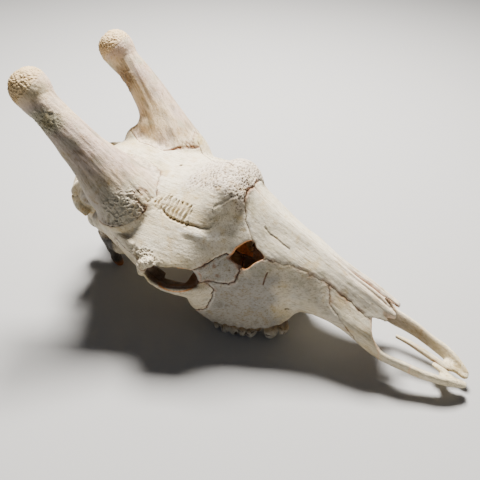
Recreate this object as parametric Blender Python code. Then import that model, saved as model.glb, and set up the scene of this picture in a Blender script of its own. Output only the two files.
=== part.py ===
"""Giraffe skull, a still, life-size museum model of one subadult bull's cranium without its lower jaw.

The skull is roughed out whole, hollowed, and then parted along its sutures into its bones. Measures are
millimetres in the skull's own frame: X from the back of the condyles towards the snout, Y to the animal's
left, Z up from the plane of the chewing surfaces. The finished bones hang on one empty, which tilts the
skull to the way it rests and turns millimetres into metres.
"""
import math

import bmesh
import bpy
import numpy as np
from mathutils import Matrix, Vector

# Driving dimensions
CONDYLOBASAL_LENGTH = 600.0    # back of the condyles to the tips of the premaxillae, mm
DRAWN_LENGTH = 600.0           # the length that the stations below are given for, mm
HALF_WIDTH = 160.0             # more than half the width of the skull, mm
SEAM_GAP = 0.3                 # air left between neighbouring bones, mm
VOXEL = 2.6                    # grid of the roughed out bone, mm
TRIANGLES = 6400               # faces of the whole skull before it is parted
FLOOR_SHAVE = 1.2              # height of the small flats worn on what touches the ground, mm

RING_POINTS = 44               # points around a lofted section
SIDES = {"right": -1.0, "left": 1.0}

# Colours of the bone, linear
BONE = (0.66, 0.60, 0.47)
PALE_BONE = (0.74, 0.70, 0.60)
HORN_BONE = (0.58, 0.54, 0.42)


# Curves and rings
def through(keys, x):
    """Smooth values at x from rows of (x, value, value ...), without overshoot between the rows."""
    keys = np.array(sorted(map(tuple, keys)), float)
    at, val = keys[:, 0], keys[:, 1:]
    step = np.diff(at)
    slope = np.diff(val, axis=0) / step[:, None]
    tangent = np.vstack([slope[:1], (slope[1:] + slope[:-1]) / 2.0, slope[-1:]])
    flat = slope[1:] * slope[:-1] <= 0.0
    tangent[1:-1][flat] = 0.0
    x = np.clip(np.atleast_1d(x).astype(float), at[0], at[-1])
    i = np.clip(np.searchsorted(at, x) - 1, 0, len(step) - 1)
    h = step[i][:, None]
    t = ((x - at[i]) / step[i])[:, None]
    return ((2 * t**3 - 3 * t**2 + 1) * val[i] + (t**3 - 2 * t**2 + t) * h * tangent[i]
            + (3 * t**2 - 2 * t**3) * val[i + 1] + (t**3 - t**2) * h * tangent[i + 1])


def closed_curve(points, count):
    """A closed smooth curve through points, as count points."""
    p = np.array(points, float)
    u = np.linspace(0.0, len(p), count, endpoint=False)
    i = u.astype(int)
    t = (u - i)[:, None]
    a, b, c, d = (p[(i + k) % len(p)] for k in (-1, 0, 1, 2))
    return 0.5 * (2 * b + (c - a) * t + (2 * a - 5 * b + 4 * c - d) * t**2 + (3 * b - a - 3 * c + d) * t**3)


def loft(rings):
    """A closed mesh over a row of rings, with a flat cap at each end."""
    count = len(rings[0])
    bm = bmesh.new()
    rows = [[bm.verts.new(p) for p in ring] for ring in rings]
    for low, high in zip(rows, rows[1:]):
        for i in range(count):
            j = (i + 1) % count
            bm.faces.new((low[i], low[j], high[j], high[i]))
    bm.faces.new(rows[0][::-1])
    bm.faces.new(rows[-1])
    bmesh.ops.recalc_face_normals(bm, faces=bm.faces)
    mesh = bpy.data.meshes.new("form")
    bm.to_mesh(mesh)
    bm.free()
    return mesh


def section_loft(stations, inset=0.0, step=6.0):
    """A form along X, alike on both sides, from stations (x, top z, y, z, y, z ..., bottom z)."""
    rows = np.array(stations, float)
    xs = np.arange(rows[:, 0].min(), rows[:, 0].max() + step / 2.0, step)
    rings = []
    for x, row in zip(xs, through(stations, xs)):
        half = [(0.0, row[0])] + list(zip(row[1:-1:2], row[2:-1:2])) + [(0.0, row[-1])]
        loop = half + [(-y, z) for y, z in half[-2:0:-1]]
        ring = closed_curve(loop, RING_POINTS)
        if inset:
            middle = ring.mean(axis=0)
            out = ring - middle
            ring = middle + out * (1.0 - inset / np.linalg.norm(out, axis=1))[:, None]
        rings.append([(x, y, z) for y, z in ring])
    return loft(rings)


def blade(side, stations, step=4.0):
    """A plate along X, from stations (x, y low, z low, y high, z high, thickness)."""
    rows = np.array(stations, float)
    xs = np.arange(rows[:, 0].min(), rows[:, 0].max() + step / 2.0, step)
    rings = []
    for x, (y0, z0, y1, z1, thick) in zip(xs, through(stations, xs)):
        low, high = Vector((y0 * side, z0)), Vector((y1 * side, z1))
        middle = (low + high) / 2.0
        along = (high - low) / 2.0
        across = Vector((-along.y, along.x)).normalized() * thick / 2.0
        ring = []
        for k in range(16):
            a = 2.0 * math.pi * k / 16
            c, s = math.cos(a), math.sin(a)
            reach = abs(c) ** 0.6 * math.copysign(1.0, c)
            bulge = abs(s) ** 0.8 * math.copysign(1.0, s)
            p = middle + along * reach + across * bulge
            ring.append((x, p.x, p.y))
        rings.append(ring)
    return loft(rings)


def tube(side, stations, step=5.0):
    """A rod through stations (x, y, z, radius across, radius up), round in section."""
    rows = np.array(stations, float)
    rows[:, 1] *= side
    length = np.r_[0.0, np.cumsum(np.linalg.norm(np.diff(rows[:, :3], axis=0), axis=1))]
    spots = np.linspace(0.0, length[-1], max(3, int(length[-1] / step) + 1))
    run = through(np.column_stack([length, rows]), spots)
    heading = np.gradient(run[:, :3], axis=0)
    rings = []
    for row, way in zip(run, heading):
        way = Vector(way).normalized()
        across = way.cross(Vector((0.0, 0.0, 1.0)))
        if across.length < 0.2:
            across = way.cross(Vector((1.0, 0.0, 0.0)))
        across.normalize()
        up = across.cross(way)
        centre = Vector(row[:3])
        ring = []
        for k in range(20):
            a = 2.0 * math.pi * k / 20
            ring.append(tuple(centre + across * row[3] * math.cos(a) + up * row[4] * math.sin(a)))
        rings.append(ring)
    return loft(rings)


def egg(side, centre, radii, turn=0.0):
    """An ellipsoid, turned about Y by an angle in degrees."""
    bm = bmesh.new()
    bmesh.ops.create_icosphere(bm, subdivisions=3, radius=1.0)
    place = Matrix.Translation((centre[0], centre[1] * side, centre[2]))
    bm.transform(place @ Matrix.Rotation(math.radians(turn), 4, "Y") @ Matrix.Diagonal((*radii, 1.0)))
    mesh = bpy.data.meshes.new("form")
    bm.to_mesh(mesh)
    bm.free()
    return mesh


def prism(points, way, start, stop):
    """A closed block: the loop of points swept along way, from start to stop."""
    way = Vector(way).normalized()
    low = [tuple(Vector(p) + way * start) for p in points]
    high = [tuple(Vector(p) + way * stop) for p in points]
    mesh = loft([low, high])
    bm = bmesh.new()
    bm.from_mesh(mesh)
    bmesh.ops.triangulate(bm, faces=[f for f in bm.faces if len(f.verts) > 4])
    bm.to_mesh(mesh)
    bm.free()
    return mesh


def widened(points, way, by):
    """The loop of points moved outwards by a width, as seen along way."""
    way = Vector(way).normalized()
    loop = [Vector(p) for p in points]
    flat = [p - way * p.dot(way) for p in loop]
    area = sum(a.cross(b).dot(way) for a, b in zip(flat, flat[1:] + flat[:1]))
    turn = math.copysign(1.0, area)
    out = []
    for i, p in enumerate(loop):
        before = (flat[i] - flat[i - 1]).normalized().cross(way) * turn
        after = (flat[(i + 1) % len(flat)] - flat[i]).normalized().cross(way) * turn
        out.append(p + (before + after) * by / (1.0 + before.dot(after)))
    return out


# Working on whole meshes
def new_object(name, mesh):
    obj = bpy.data.objects.new(name, mesh)
    bpy.context.scene.collection.objects.link(obj)
    return obj


def joined(forms):
    """One mesh that holds several forms as loose closed shells."""
    bm = bmesh.new()
    for form in forms:
        bm.from_mesh(form)
    mesh = bpy.data.meshes.new("forms")
    bm.to_mesh(mesh)
    bm.free()
    return mesh


def evaluated(obj):
    """The object's mesh with its modifiers worked in; the object goes."""
    depsgraph = bpy.context.evaluated_depsgraph_get()
    mesh = bpy.data.meshes.new_from_object(obj.evaluated_get(depsgraph))
    bpy.data.objects.remove(obj)
    return mesh


def fused(forms, voxel, smooth):
    """Forms that run into one another made one skin, and smoothed."""
    obj = new_object("rough", joined(forms))
    remesh = obj.modifiers.new("fuse", "REMESH")
    remesh.mode = "VOXEL"
    remesh.voxel_size = voxel
    if smooth:
        soften = obj.modifiers.new("soften", "SMOOTH")
        soften.factor = 0.5
        soften.iterations = smooth
    return evaluated(obj)


def carved(mesh, cutter, how="DIFFERENCE", solver="MANIFOLD"):
    """The mesh cut by, kept inside or joined with another closed mesh."""
    obj = new_object("work", mesh)
    tool = new_object("tool", cutter)
    cut = obj.modifiers.new("cut", "BOOLEAN")
    cut.operation = how
    cut.solver = solver
    cut.object = tool
    result = evaluated(obj)
    bpy.data.objects.remove(tool)
    return result


def largest_body(mesh):
    """The mesh without loose scraps: only its largest closed surface."""
    bm = bmesh.new()
    bm.from_mesh(mesh)
    bmesh.ops.triangulate(bm, faces=bm.faces)
    left = set(bm.faces)
    bodies = []
    while left:
        seed = left.pop()
        body, edge = {seed}, [seed]
        while edge:
            face = edge.pop()
            for e in face.edges:
                for other in e.link_faces:
                    if other in left:
                        left.discard(other)
                        body.add(other)
                        edge.append(other)
        bodies.append(body)
    bodies.sort(key=lambda body: -sum(f.calc_area() for f in body))
    scraps = [f for body in bodies[1:] for f in body]
    bmesh.ops.delete(bm, geom=scraps, context="FACES")
    out = bpy.data.meshes.new("body")
    bm.to_mesh(out)
    bm.free()
    return out


# The face: an arched box from the brow to the nose, hollow over the palate
# x, top z, shoulder y z, roof edge y z, side y z, lower edge y z, palate z
FACE = [
    (228, 214, 46, 199, 84, 160, 104, 98, 78, 40, 56),
    (245, 213, 44, 198, 82, 157, 101, 97, 78, 24, 46),
    (262, 207, 40, 192, 75, 152, 92, 97, 76, 19, 40),
    (285, 198, 33, 184, 63, 149, 78, 95, 74, 19, 38),
    (300, 191, 29, 177, 58, 146, 73, 95, 71, 19, 38),
    (325, 178, 23, 162, 48, 139, 62, 92, 58, 20, 38),
    (345, 167, 19, 154, 40, 133, 54, 88, 41, 22, 40),
    (362, 156, 17, 145, 36, 129, 49, 86, 33, 44, 47),
    (380, 145, 16, 136, 32, 121, 46, 82, 32, 51, 52),
    (405, 131, 14, 123, 26, 109, 45, 76, 33, 52, 55),
    (430, 116, 14, 109, 26, 92, 45, 68, 34, 44, 50),
    (455, 101, 13, 95, 26, 77, 44, 58, 35, 28, 40),
    (489, 77, 10, 73, 17, 66, 38, 42, 33, 12, 30),
]
# the airway in it: x, top z, shoulder, roof edge, side, lower edge, floor z
AIRWAY = [
    (240, 165, 16, 160, 24, 140, 24, 100, 16, 72, 66),
    (262, 192, 32, 182, 58, 150, 56, 100, 26, 58, 52),
    (285, 190, 27, 178, 56, 146, 62, 100, 36, 54, 48),
    (300, 184, 24, 172, 52, 143, 62, 98, 38, 52, 47),
    (325, 171, 18, 157, 42, 134, 54, 95, 36, 52, 47),
    (345, 160, 15, 148, 34, 128, 46, 90, 32, 52, 49),
    (362, 149, 13, 139, 30, 123, 43, 88, 28, 56, 56),
    (380, 138, 12, 130, 26, 115, 40, 84, 27, 61, 61),
    (405, 124, 11, 117, 21, 103, 39, 77, 27, 62, 64),
    (430, 108, 10, 102, 21, 86, 39, 69, 28, 54, 59),
    (455, 92, 9, 87, 21, 71, 38, 60, 29, 38, 49),
    (500, 60, 8, 56, 14, 50, 31, 34, 26, 8, 26),
]
# the nose opening in side view: front edge of the cheek plates, then the free edge of the nasals
NOSE_OPENING = [(459, 0, 76), (471, 0, 52), (480, 0, 36), (480, 0, -30), (520, 0, -30), (520, 0, 60), (487, 0, 66)]
# the opening through the palate in plan, between the palate's front edge and the premaxillae
INCISIVE_OPENING = [(446, -26, 0), (466, -32, 0), (520, -33, 0), (520, 33, 0), (466, 32, 0), (446, 26, 0)]

# The vault: brow, orbit roofs, temporal lines and braincase
# x, top z, roof y z, rim y z, under rim y z, wall y z, foot y z, bottom z
VAULT = [
    (22, 190, 38, 182, 56, 166, 54, 138, 48, 112, 34, 92, 88),
    (34, 204, 42, 195, 66, 170, 60, 142, 52, 116, 36, 90, 85),
    (60, 220, 44, 211, 72, 174, 60, 152, 52, 130, 36, 92, 85),
    (90, 227, 46, 217, 82, 174, 66, 155, 52, 130, 36, 95, 87),
    (135, 221, 50, 211, 100, 164, 80, 151, 52, 132, 36, 97, 89),
    (165, 215, 53, 206, 114, 156, 92, 147, 51, 134, 34, 99, 91),
    (195, 215, 56, 202, 122, 150, 107, 143, 50, 136, 32, 101, 93),
    (226, 225, 54, 204, 115, 147, 103, 140, 48, 134, 30, 103, 95),
    (243, 232, 48, 207, 108, 142, 96, 133, 50, 122, 32, 99, 93),
    (260, 231, 42, 202, 90, 137, 80, 120, 52, 110, 34, 95, 90),
    (273, 222, 38, 195, 74, 140, 64, 118, 50, 106, 34, 95, 90),
    (285, 200, 33, 183, 62, 140, 54, 118, 46, 100, 30, 92, 88),
]

JUGAL = [
    (270, 72, 68, 80, 100, 12),
    (256, 84, 71, 95, 106, 14),
    (245, 92, 75, 104, 107, 14),
    (232, 99, 82, 112, 106, 11),
    (220, 105, 89, 118, 106, 9),
    (205, 110, 95, 123, 110, 9),
    (190, 112, 101, 124, 120, 9),
    (175, 110, 109, 119, 140, 9),
    (150, 103, 117, 110, 152, 9),
    (125, 94, 123, 99, 154, 9),
    (100, 84, 126, 88, 150, 11),
    (80, 72, 122, 77, 150, 13),
]

ORBIT_FLOOR = [
    (182, 104, 103, 116, 110, 5),
    (200, 98, 98, 118, 104, 5),
    (225, 92, 96, 116, 102, 5),
    (246, 88, 100, 102, 104, 6),
]

PREMAXILLA = [
    (418, 34, 58, 42, 90, 7),
    (432, 34, 46, 43, 78, 7),
    (446, 34, 34, 44, 66, 7),
    (460, 34, 24, 43, 56, 7),
    (470, 33, 17, 41, 49, 7.5),
    (481, 32.5, 13, 42, 37, 8),
    (495, 32, 10, 41, 32, 8.5),
    (512, 31, 6, 38, 27, 9),
    (535, 27, -1, 33, 18, 9),
    (557, 20, -7, 28, 12, 9),
    (575, 14, -11, 21, 6, 9),
    (589, 8, -12, 13, -3, 8),
    (594, 8, -11, 10, -6, 4),
]
PREMAXILLA_BODY = [
    (556, 3, -4, 14, -4, 7),
    (563, 0.5, -5, 21, -2, 8),
    (570, 3.5, -6, 20, -3, 9),
    (578, 4.5, -9, 18, -6, 9),
    (589, 1.5, -11, 12, -8, 8),
    (594, 3, -11, 9, -9, 5),
]
PALATE_ROD = [
    (493, 0.5, 28, 5.5, 27, 6),
    (510, 0.5, 20, 6.5, 19, 7),
    (530, 0.5, 10, 7, 9, 7.5),
    (564, 0.5, -4, 9, -4, 8),
]
PTERYGOID = [
    (160, 19, 66, 22, 92, 5),
    (190, 22, 56, 26, 96, 5.5),
    (215, 25, 42, 30, 98, 7),
    (240, 29, 30, 36, 96, 10),
    (262, 34, 30, 42, 90, 14),
]
VOMER = [(205, 0, 70, 0, 98, 5), (300, 0, 50, 0, 88, 4), (420, 0, 58, 0, 74, 4), (455, 0, 44, 0, 56, 4)]

OSSICONE = [
    (136, 56, 168, 50, 46),
    (126, 60, 188, 49, 45),
    (114, 65, 205, 44, 42),
    (104, 69, 223, 38, 38),
    (94, 73, 241, 31.5, 32),
    (79.5, 77.5, 263, 26, 27),
    (61.5, 80.5, 287, 22.5, 23.5),
    (44, 81.5, 307, 20.5, 21),
    (34.5, 81.8, 316, 22.5, 22),
    (27, 81.5, 328, 26, 24.5),
    (21, 81, 338, 24.5, 22.5),
    (16, 81, 346, 18.5, 16.5),
    (13, 81, 350, 8, 7),
]

# Cheek teeth from the back: middle x, length, tip z, lobes, width across
TEETH = [
    (254, 12, 2.5, 1, 20),
    (273, 25, -0.5, 2, 22),
    (297, 22, -1.0, 2, 21),
    (313, 9, 8.0, 1, 16),
    (328, 18, -1.5, 1, 17),
    (344, 14, 0.5, 1, 14),
]
TOOTH_ROW = [(240, 65), (273, 62), (297, 57), (313, 52), (328, 46), (344, 38), (360, 30)]
TOOTH_SIDES = 10


# The gap beside each nasal bone, on the surface, between it, the frontal, the lacrimal and the maxilla
FACIAL_GAP = [
    (278, 73, 146), (292, 55, 158), (298, 48, 161), (305, 43, 160),
    (322, 48, 142), (311, 58, 138), (300, 67, 129), (291, 68, 137),
]
# the notch between the two points of each nasal's free end, in plan
NASAL_NOTCH = [(452, 13, 0), (500, 6, 0), (500, 15, 0)]

# Bounds of the bones. In side view (x, 0, z) unless they are said to be in plan.
MIDLINE = SEAM_GAP / 2.0
# the foot of the horn core on the vault, in space, and the way the core stands
HORN_FOOT = [
    (160, 20, 216), (168, 46, 206), (177, 62, 199), (176, 82, 190), (154, 108, 176), (128, 112, 171),
    (102, 106, 171), (84, 88, 177), (76, 58, 190), (82, 30, 202), (102, 14, 212), (134, 12, 217),
]
HORN_WAY = (-0.55, 0.17, 0.82)
# the nasal in plan, with the heights of a floor that lies inside the airway
NASAL = [
    (286, MIDLINE, 150), (283, 12, 150), (284, 24, 150), (290, 35, 148), (297, 40, 144), (304, 44, 141),
    (321, 49.5, 132), (326, 47, 130), (352, 37, 116), (377, 32, 104), (402, 26.5, 91), (430, 26, 77),
    (459, 28, 60), (500, 22, 45), (500, MIDLINE, 45),
]
PREMAXILLARY = [
    (402, 0, 140), (402, 0, 111), (406, 0, 99), (409, 0, 88), (422, 0, 77), (434, 0, 63), (446, 0, 48),
    (448, 0, 36), (444, 0, -40), (620, 0, -40), (620, 0, 60), (500, 0, 140),
]
LACRIMAL = [
    (244, 0, 137), (262, 0, 141), (278, 0, 148), (291, 0, 138), (297, 0, 128), (297, 0, 114),
    (288, 0, 105), (262, 0, 107), (244, 0, 112),
]
ZYGOMATIC = [
    (128, 0, 152), (165, 0, 146), (188, 0, 132), (222, 0, 118), (244, 0, 112), (262, 0, 107), (266, 0, 97),
    (262, 0, 80), (252, 0, 60), (225, 0, 48), (150, 0, 78), (128, 0, 104),
]
PALATINE = [(140, 0, 15), (140, 0, 78), (180, 0, 88), (222, 0, 92), (262, 0, 92), (262, 0, 15)]
MAXILLARY = [
    (222, 0, 112), (244, 0, 112), (262, 0, 107), (288, 0, 105), (297, 0, 114), (297, 0, 128), (322, 0, 143),
    (322, 0, 190), (470, 0, 150), (470, 0, -40), (205, 0, -40), (214, 0, 45), (222, 0, 62),
]
FRONTAL = [
    (100, 0, 280), (100, 0, 172), (128, 0, 152), (165, 0, 146), (188, 0, 132), (222, 0, 112), (244, 0, 112),
    (262, 0, 107), (288, 0, 105), (297, 0, 114), (297, 0, 128), (322, 0, 143), (340, 0, 280),
]


def mirrored(points, side):
    """The points, given for the left, on the side that is asked for."""
    return [(x, y * side, z) for x, y, z in points]


def solid_masses():
    """The heavy forms, which the hollows are carved out of."""
    forms = [section_loft(FACE), section_loft(VAULT), egg(1, (254, 0, 192), (34, 42, 43))]
    for side in SIDES.values():
        forms += [
            egg(side, (84, 70, 140), (26, 16, 20)),
            egg(side, (245, 62, 52), (23, 20, 32)),
            egg(side, (255, 20, 192), (31, 30, 39)),
            egg(side, (88, 52, 222), (28, 24, 26)),
            tube(side, OSSICONE),
        ]
    return forms


def hollows():
    """What is carved out: airway, nose, throat, spinal opening, orbits, temple, ear and facial gaps."""
    forms = [
        section_loft(AIRWAY),
        prism(NOSE_OPENING, (0, 1, 0), -90, 90),
        prism(INCISIVE_OPENING, (0, 0, 1), -30, 60),
        tube(1, [(285, 0, 74, 24, 18), (245, 0, 70, 24, 22), (200, 0, 62, 22, 22), (150, 0, 48, 22, 22)]),
        tube(1, [(-30, 0, 116, 17, 16), (20, 0, 118, 17, 17), (48, 0, 124, 21, 20), (76, 0, 129, 19, 17)]),
    ]
    for side in SIDES.values():
        forms += [
            egg(side, (225, 102, 123), (30, 40, 22)),
            egg(side, (58, 80, 164), (18, 16, 18)),
            prism(mirrored(FACIAL_GAP, side), (0, 0.75 * side, 0.66), -16, 16),
            prism(mirrored(NASAL_NOTCH, side), (0, 0, 1), 40, 120),
            tube(side, [(66, 110, 122, 5, 5), (70, 60, 120, 5, 5)]),
        ]
    return forms


def thin_parts():
    """Plates, rods and knobs that are set on after the carving."""
    forms = [blade(1, VOMER)]
    for side in SIDES.values():
        forms += [
            blade(side, JUGAL),
            blade(side, PREMAXILLA),
            blade(side, PREMAXILLA_BODY),
            blade(side, PALATE_ROD),
            blade(side, PTERYGOID),
            tube(side, [(204, 119, 149, 7, 6), (192, 123, 145, 7, 6), (182, 122, 134, 6, 8), (178, 118, 120, 7, 7)]),
            tube(side, [(240, 108, 142, 6, 5), (250, 104, 135, 6, 6), (254, 101, 121, 7, 7), (251, 98, 106, 8, 7)]),
            blade(side, ORBIT_FLOOR),
            tube(side, [(188, 122, 143, 8, 6), (180, 112, 128, 9, 7), (184, 104, 112, 9, 6), (196, 100, 101, 8, 5)]),
            tube(side, [(30, 66, 172, 6, 6), (30, 52, 189, 6, 6), (24, 26, 200, 6, 6), (22, -2, 203, 7, 6)]),
            egg(side, (15, 24, 99), (18, 18, 22), 20),
            egg(side, (62, 40, 72), (24, 14, 20), 10),
            tube(side, [(50, 52, 114, 9, 13), (46, 48, 84, 6, 12), (47, 43, 52, 5, 9), (50, 38, 24, 4.5, 7), (51, 37, 18, 3.5, 4.5)]),
            tube(side, [(56, 52, 196, 6, 6), (40, 62, 188, 5, 6), (30, 68, 172, 5, 6), (28, 67, 152, 5, 6), (40, 63, 136, 6, 6)]),
        ]
    return forms


def tooth_forms(side):
    """The cheek teeth of one side, one closed cusp form for each lobe."""
    forms = []
    for middle, length, tip, lobes, wide in TEETH:
        for k in range(lobes):
            reach = length / lobes
            x = middle + (k - (lobes - 1) / 2.0) * reach
            y = through(TOOTH_ROW, x)[0][0]
            ahead = through(TOOTH_ROW, x + 1.0)[0][0]
            way = Vector((1.0, ahead - y, 0.0)).normalized()
            out = Vector((-way.y, way.x, 0.0))
            rings = []
            for z, grow, lean in ((36, 0.80, -2.0), (19, 0.95, 0.0), (9, 1.03, 0.8), (tip + 4, 0.90, 1.2), (tip, 0.42, 5.5)):
                ring = []
                for a in range(TOOTH_SIDES):
                    angle = 2.0 * math.pi * a / TOOTH_SIDES
                    p = Vector((x, y, z)) + way * math.cos(angle) * grow * (reach / 2.0 + 0.3)
                    p = p + out * (math.sin(angle) * grow * wide / 2.0 + lean)
                    ring.append((p.x, p.y * side, p.z))
                rings.append(ring)
            forms.append(loft(rings))
    return forms


def roughed_out():
    """The whole skull without its teeth, in one skin, thinned to the wanted number of faces."""
    skull = fused(solid_masses(), VOXEL, 14)
    skull = carved(skull, fused(hollows(), VOXEL, 2))
    skull = fused([skull] + thin_parts(), VOXEL, 4)
    rough = new_object("rough", skull)
    thin = rough.modifiers.new("thin", "DECIMATE")
    thin.ratio = min(1.0, TRIANGLES / (2.0 * len(skull.polygons)))
    return evaluated(rough)


def regions():
    """The bones in the order they are cut free: name, loop, way, start and stop of the block around each."""
    rows = []
    for name, side in SIDES.items():
        across = (0.0, side, 0.0)
        horn_way = mirrored([HORN_WAY], side)[0]
        rows += [
            ("ossicone_" + name, mirrored(HORN_FOOT, side), horn_way, 0.0, 260.0),
            ("nasal_" + name, mirrored(NASAL, side), (0.0, 0.0, 1.0), 0.0, 160.0),
            ("premaxilla_" + name, PREMAXILLARY, across, MIDLINE, HALF_WIDTH),
            ("lacrimal_" + name, LACRIMAL, across, 50.0, HALF_WIDTH),
            ("zygomatic_" + name, ZYGOMATIC, across, 79.0, HALF_WIDTH),
        ]
    rows.append(("palatine_vomer", PALATINE, (0.0, 1.0, 0.0), -38.0, 38.0))
    for name, side in SIDES.items():
        rows.append(("maxilla_" + name, MAXILLARY, (0.0, side, 0.0), MIDLINE, HALF_WIDTH))
    rows.append(("frontal", FRONTAL, (0.0, 1.0, 0.0), -HALF_WIDTH, HALF_WIDTH))
    return rows


def parted(skull):
    """The bones by name, each cut free of the rest of the skull with the seam's width between."""
    bones = {}
    for name, loop, way, start, stop in regions():
        bones[name] = carved(skull, prism(loop, way, start, stop), "INTERSECT")
        wide = prism(widened(loop, way, SEAM_GAP), way, start - SEAM_GAP, stop + SEAM_GAP)
        skull = carved(skull, wide)
    bones["braincase"] = skull
    return {name: largest_body(mesh) for name, mesh in bones.items()}


def height_over(way, mesh):
    """The lowest reach of a mesh along a direction."""
    return min(v.co.dot(way) for v in mesh.vertices)


def rest_up(bones):
    """The direction that points up, in the skull's frame, when molars and occipital processes both touch."""
    low, high = 0.0, math.radians(20.0)
    for _ in range(40):
        pitch = (low + high) / 2.0
        up = Vector((math.sin(pitch), 0.0, math.cos(pitch)))
        if height_over(up, bones["braincase"]) > height_over(up, bones["maxilla_left"]):
            low = pitch
        else:
            high = pitch
    return up


def worn_flat(mesh, up, floor):
    """The mesh with all that lies under the floor taken off."""
    along = Vector((up.z, 0.0, -up.x))
    side = Vector((0.0, HALF_WIDTH, 0.0))
    middle = up * floor + along * CONDYLOBASAL_LENGTH / 2.0
    reach = along * CONDYLOBASAL_LENGTH
    loop = [middle + reach + side, middle - reach + side, middle - reach - side, middle + reach - side]
    return carved(mesh, prism(loop, -up, 0.0, 60.0))


def bone_material(name, colour):
    material = bpy.data.materials.new(name)
    material.use_nodes = True
    shader = material.node_tree.nodes["Principled BSDF"]
    shader.inputs["Base Color"].default_value = (*colour, 1.0)
    shader.inputs["Roughness"].default_value = 0.62
    shader.inputs["Metallic"].default_value = 0.0
    return material


for old in list(bpy.data.objects):
    bpy.data.objects.remove(old)

skull_bones = parted(roughed_out())
for side_name, side_sign in SIDES.items():
    for tooth in tooth_forms(side_sign):
        jaw = "maxilla_" + side_name
        skull_bones[jaw] = carved(skull_bones[jaw], tooth, "UNION")

upward = rest_up(skull_bones)
ground = min(height_over(upward, mesh) for mesh in skull_bones.values()) + FLOOR_SHAVE
for bone_name in ("maxilla_left", "maxilla_right", "braincase"):
    skull_bones[bone_name] = largest_body(worn_flat(skull_bones[bone_name], upward, ground))

stand = bpy.data.objects.new("skull_rest", None)
bpy.context.scene.collection.objects.link(stand)
tilt = Matrix.Rotation(-math.atan2(upward.x, upward.z), 4, "Y")
corners = [tilt @ v.co for mesh in skull_bones.values() for v in mesh.vertices]
centre = [(min(c[i] for c in corners) + max(c[i] for c in corners)) / 2.0 for i in range(2)]
size = CONDYLOBASAL_LENGTH / DRAWN_LENGTH * 0.001
stand.matrix_world = Matrix.Scale(size, 4) @ Matrix.Translation((-centre[0], -centre[1], -ground)) @ tilt

finishes = {
    "pale": bone_material("pale_bone", PALE_BONE),
    "horn": bone_material("horn_bone", HORN_BONE),
    "plain": bone_material("bone", BONE),
}
for bone_name, mesh in skull_bones.items():
    bone = new_object(bone_name, mesh)
    bone.parent = stand
    kind = "horn" if bone_name.startswith("ossicone") else "pale" if bone_name.startswith("nasal") else "plain"
    mesh.materials.clear()
    mesh.materials.append(finishes[kind])
    mesh.shade_smooth()
    mesh.set_sharp_from_angle(angle=math.radians(40.0))
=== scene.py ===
"""The looks of the giraffe skull: one subadult bull's cranium without its jaw, bleached and dry.

The bone is drawn in millimetres in the skull's own frame: X from the back of the condyles towards the snout,
Y to the animal's left, Z up from the chewing surfaces. The skull is first made whole, then each bone is cut
free along its suture, given its relief and finish, and laid to rest in metres.
"""
import math

import bmesh
import bpy
import numpy as np
from mathutils import Matrix, Vector, kdtree


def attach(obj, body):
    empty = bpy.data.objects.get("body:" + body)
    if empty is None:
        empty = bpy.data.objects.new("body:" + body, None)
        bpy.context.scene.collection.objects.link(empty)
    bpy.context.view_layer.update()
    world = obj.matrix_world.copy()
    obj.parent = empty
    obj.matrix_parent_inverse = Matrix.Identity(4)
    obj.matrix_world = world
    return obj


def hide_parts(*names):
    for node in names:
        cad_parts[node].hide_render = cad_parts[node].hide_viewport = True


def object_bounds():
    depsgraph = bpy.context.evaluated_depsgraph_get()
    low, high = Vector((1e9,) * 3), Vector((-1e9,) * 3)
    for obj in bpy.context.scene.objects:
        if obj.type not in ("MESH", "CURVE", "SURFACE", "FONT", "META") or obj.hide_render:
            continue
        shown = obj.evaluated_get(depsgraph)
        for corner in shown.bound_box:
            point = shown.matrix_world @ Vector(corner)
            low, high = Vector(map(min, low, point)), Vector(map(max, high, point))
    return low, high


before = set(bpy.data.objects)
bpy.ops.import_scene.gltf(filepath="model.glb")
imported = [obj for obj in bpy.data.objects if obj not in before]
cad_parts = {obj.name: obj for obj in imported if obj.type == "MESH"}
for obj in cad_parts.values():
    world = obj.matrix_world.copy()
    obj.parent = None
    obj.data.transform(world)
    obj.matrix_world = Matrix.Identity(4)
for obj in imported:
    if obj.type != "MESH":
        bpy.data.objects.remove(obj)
cad_box = [list(corner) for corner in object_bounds()]

# The skull in one
# A cranium is a box of thin plates round a brain, two orbits and a long airway. Its heavy forms are fused
# into one skin, the hollows are carved out of that, and the thin plates, rods and rims are set on last.
GRID = 1.5                 # grid of the heavy forms, mm
FINE_GRID = 1.3            # grid of the finished skin, mm
RING_POINTS = 64           # points round a lofted section
ROD_POINTS = 28            # points round a rod or a tooth
BLADE_POINTS = 24          # points round a plate
FORM_STEP = 4.0            # from one section of a form or a rod to the next, mm
BLADE_STEP = 3.0           # from one section of a plate to the next, mm
SIDES = {"right": -1.0, "left": 1.0}

# the face over the palate: x, top z, shoulder y z, roof edge y z, side y z, lower edge y z, palate z
FACE = [
    (228, 214, 46, 199, 84, 160, 104, 98, 78, 40, 56),
    (245, 213, 44, 198, 82, 157, 101, 97, 78, 24, 46),
    (262, 207, 40, 192, 75, 152, 92, 97, 76, 19, 40),
    (285, 209, 32, 190, 63, 149, 78, 95, 72, 19, 38),
    (300, 196, 28, 181, 58, 146, 73, 95, 69, 19, 38),
    (325, 178, 23, 162, 48, 139, 62, 92, 58, 20, 38),
    (345, 167, 19, 154, 40, 133, 54, 88, 41, 22, 40),
    (362, 156, 17, 145, 36, 129, 49, 86, 33, 44, 47),
    (380, 145, 16, 136, 32, 121, 46, 82, 32, 51, 52),
    (405, 131, 14, 123, 26, 109, 45, 76, 33, 52, 55),
    (430, 116, 14, 109, 26, 92, 45, 68, 34, 44, 50),
    (455, 103, 13, 97, 26, 78, 44, 58, 35, 28, 40),
    (489, 82, 10, 79, 17, 70, 38, 42, 33, 12, 30),
]
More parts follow.
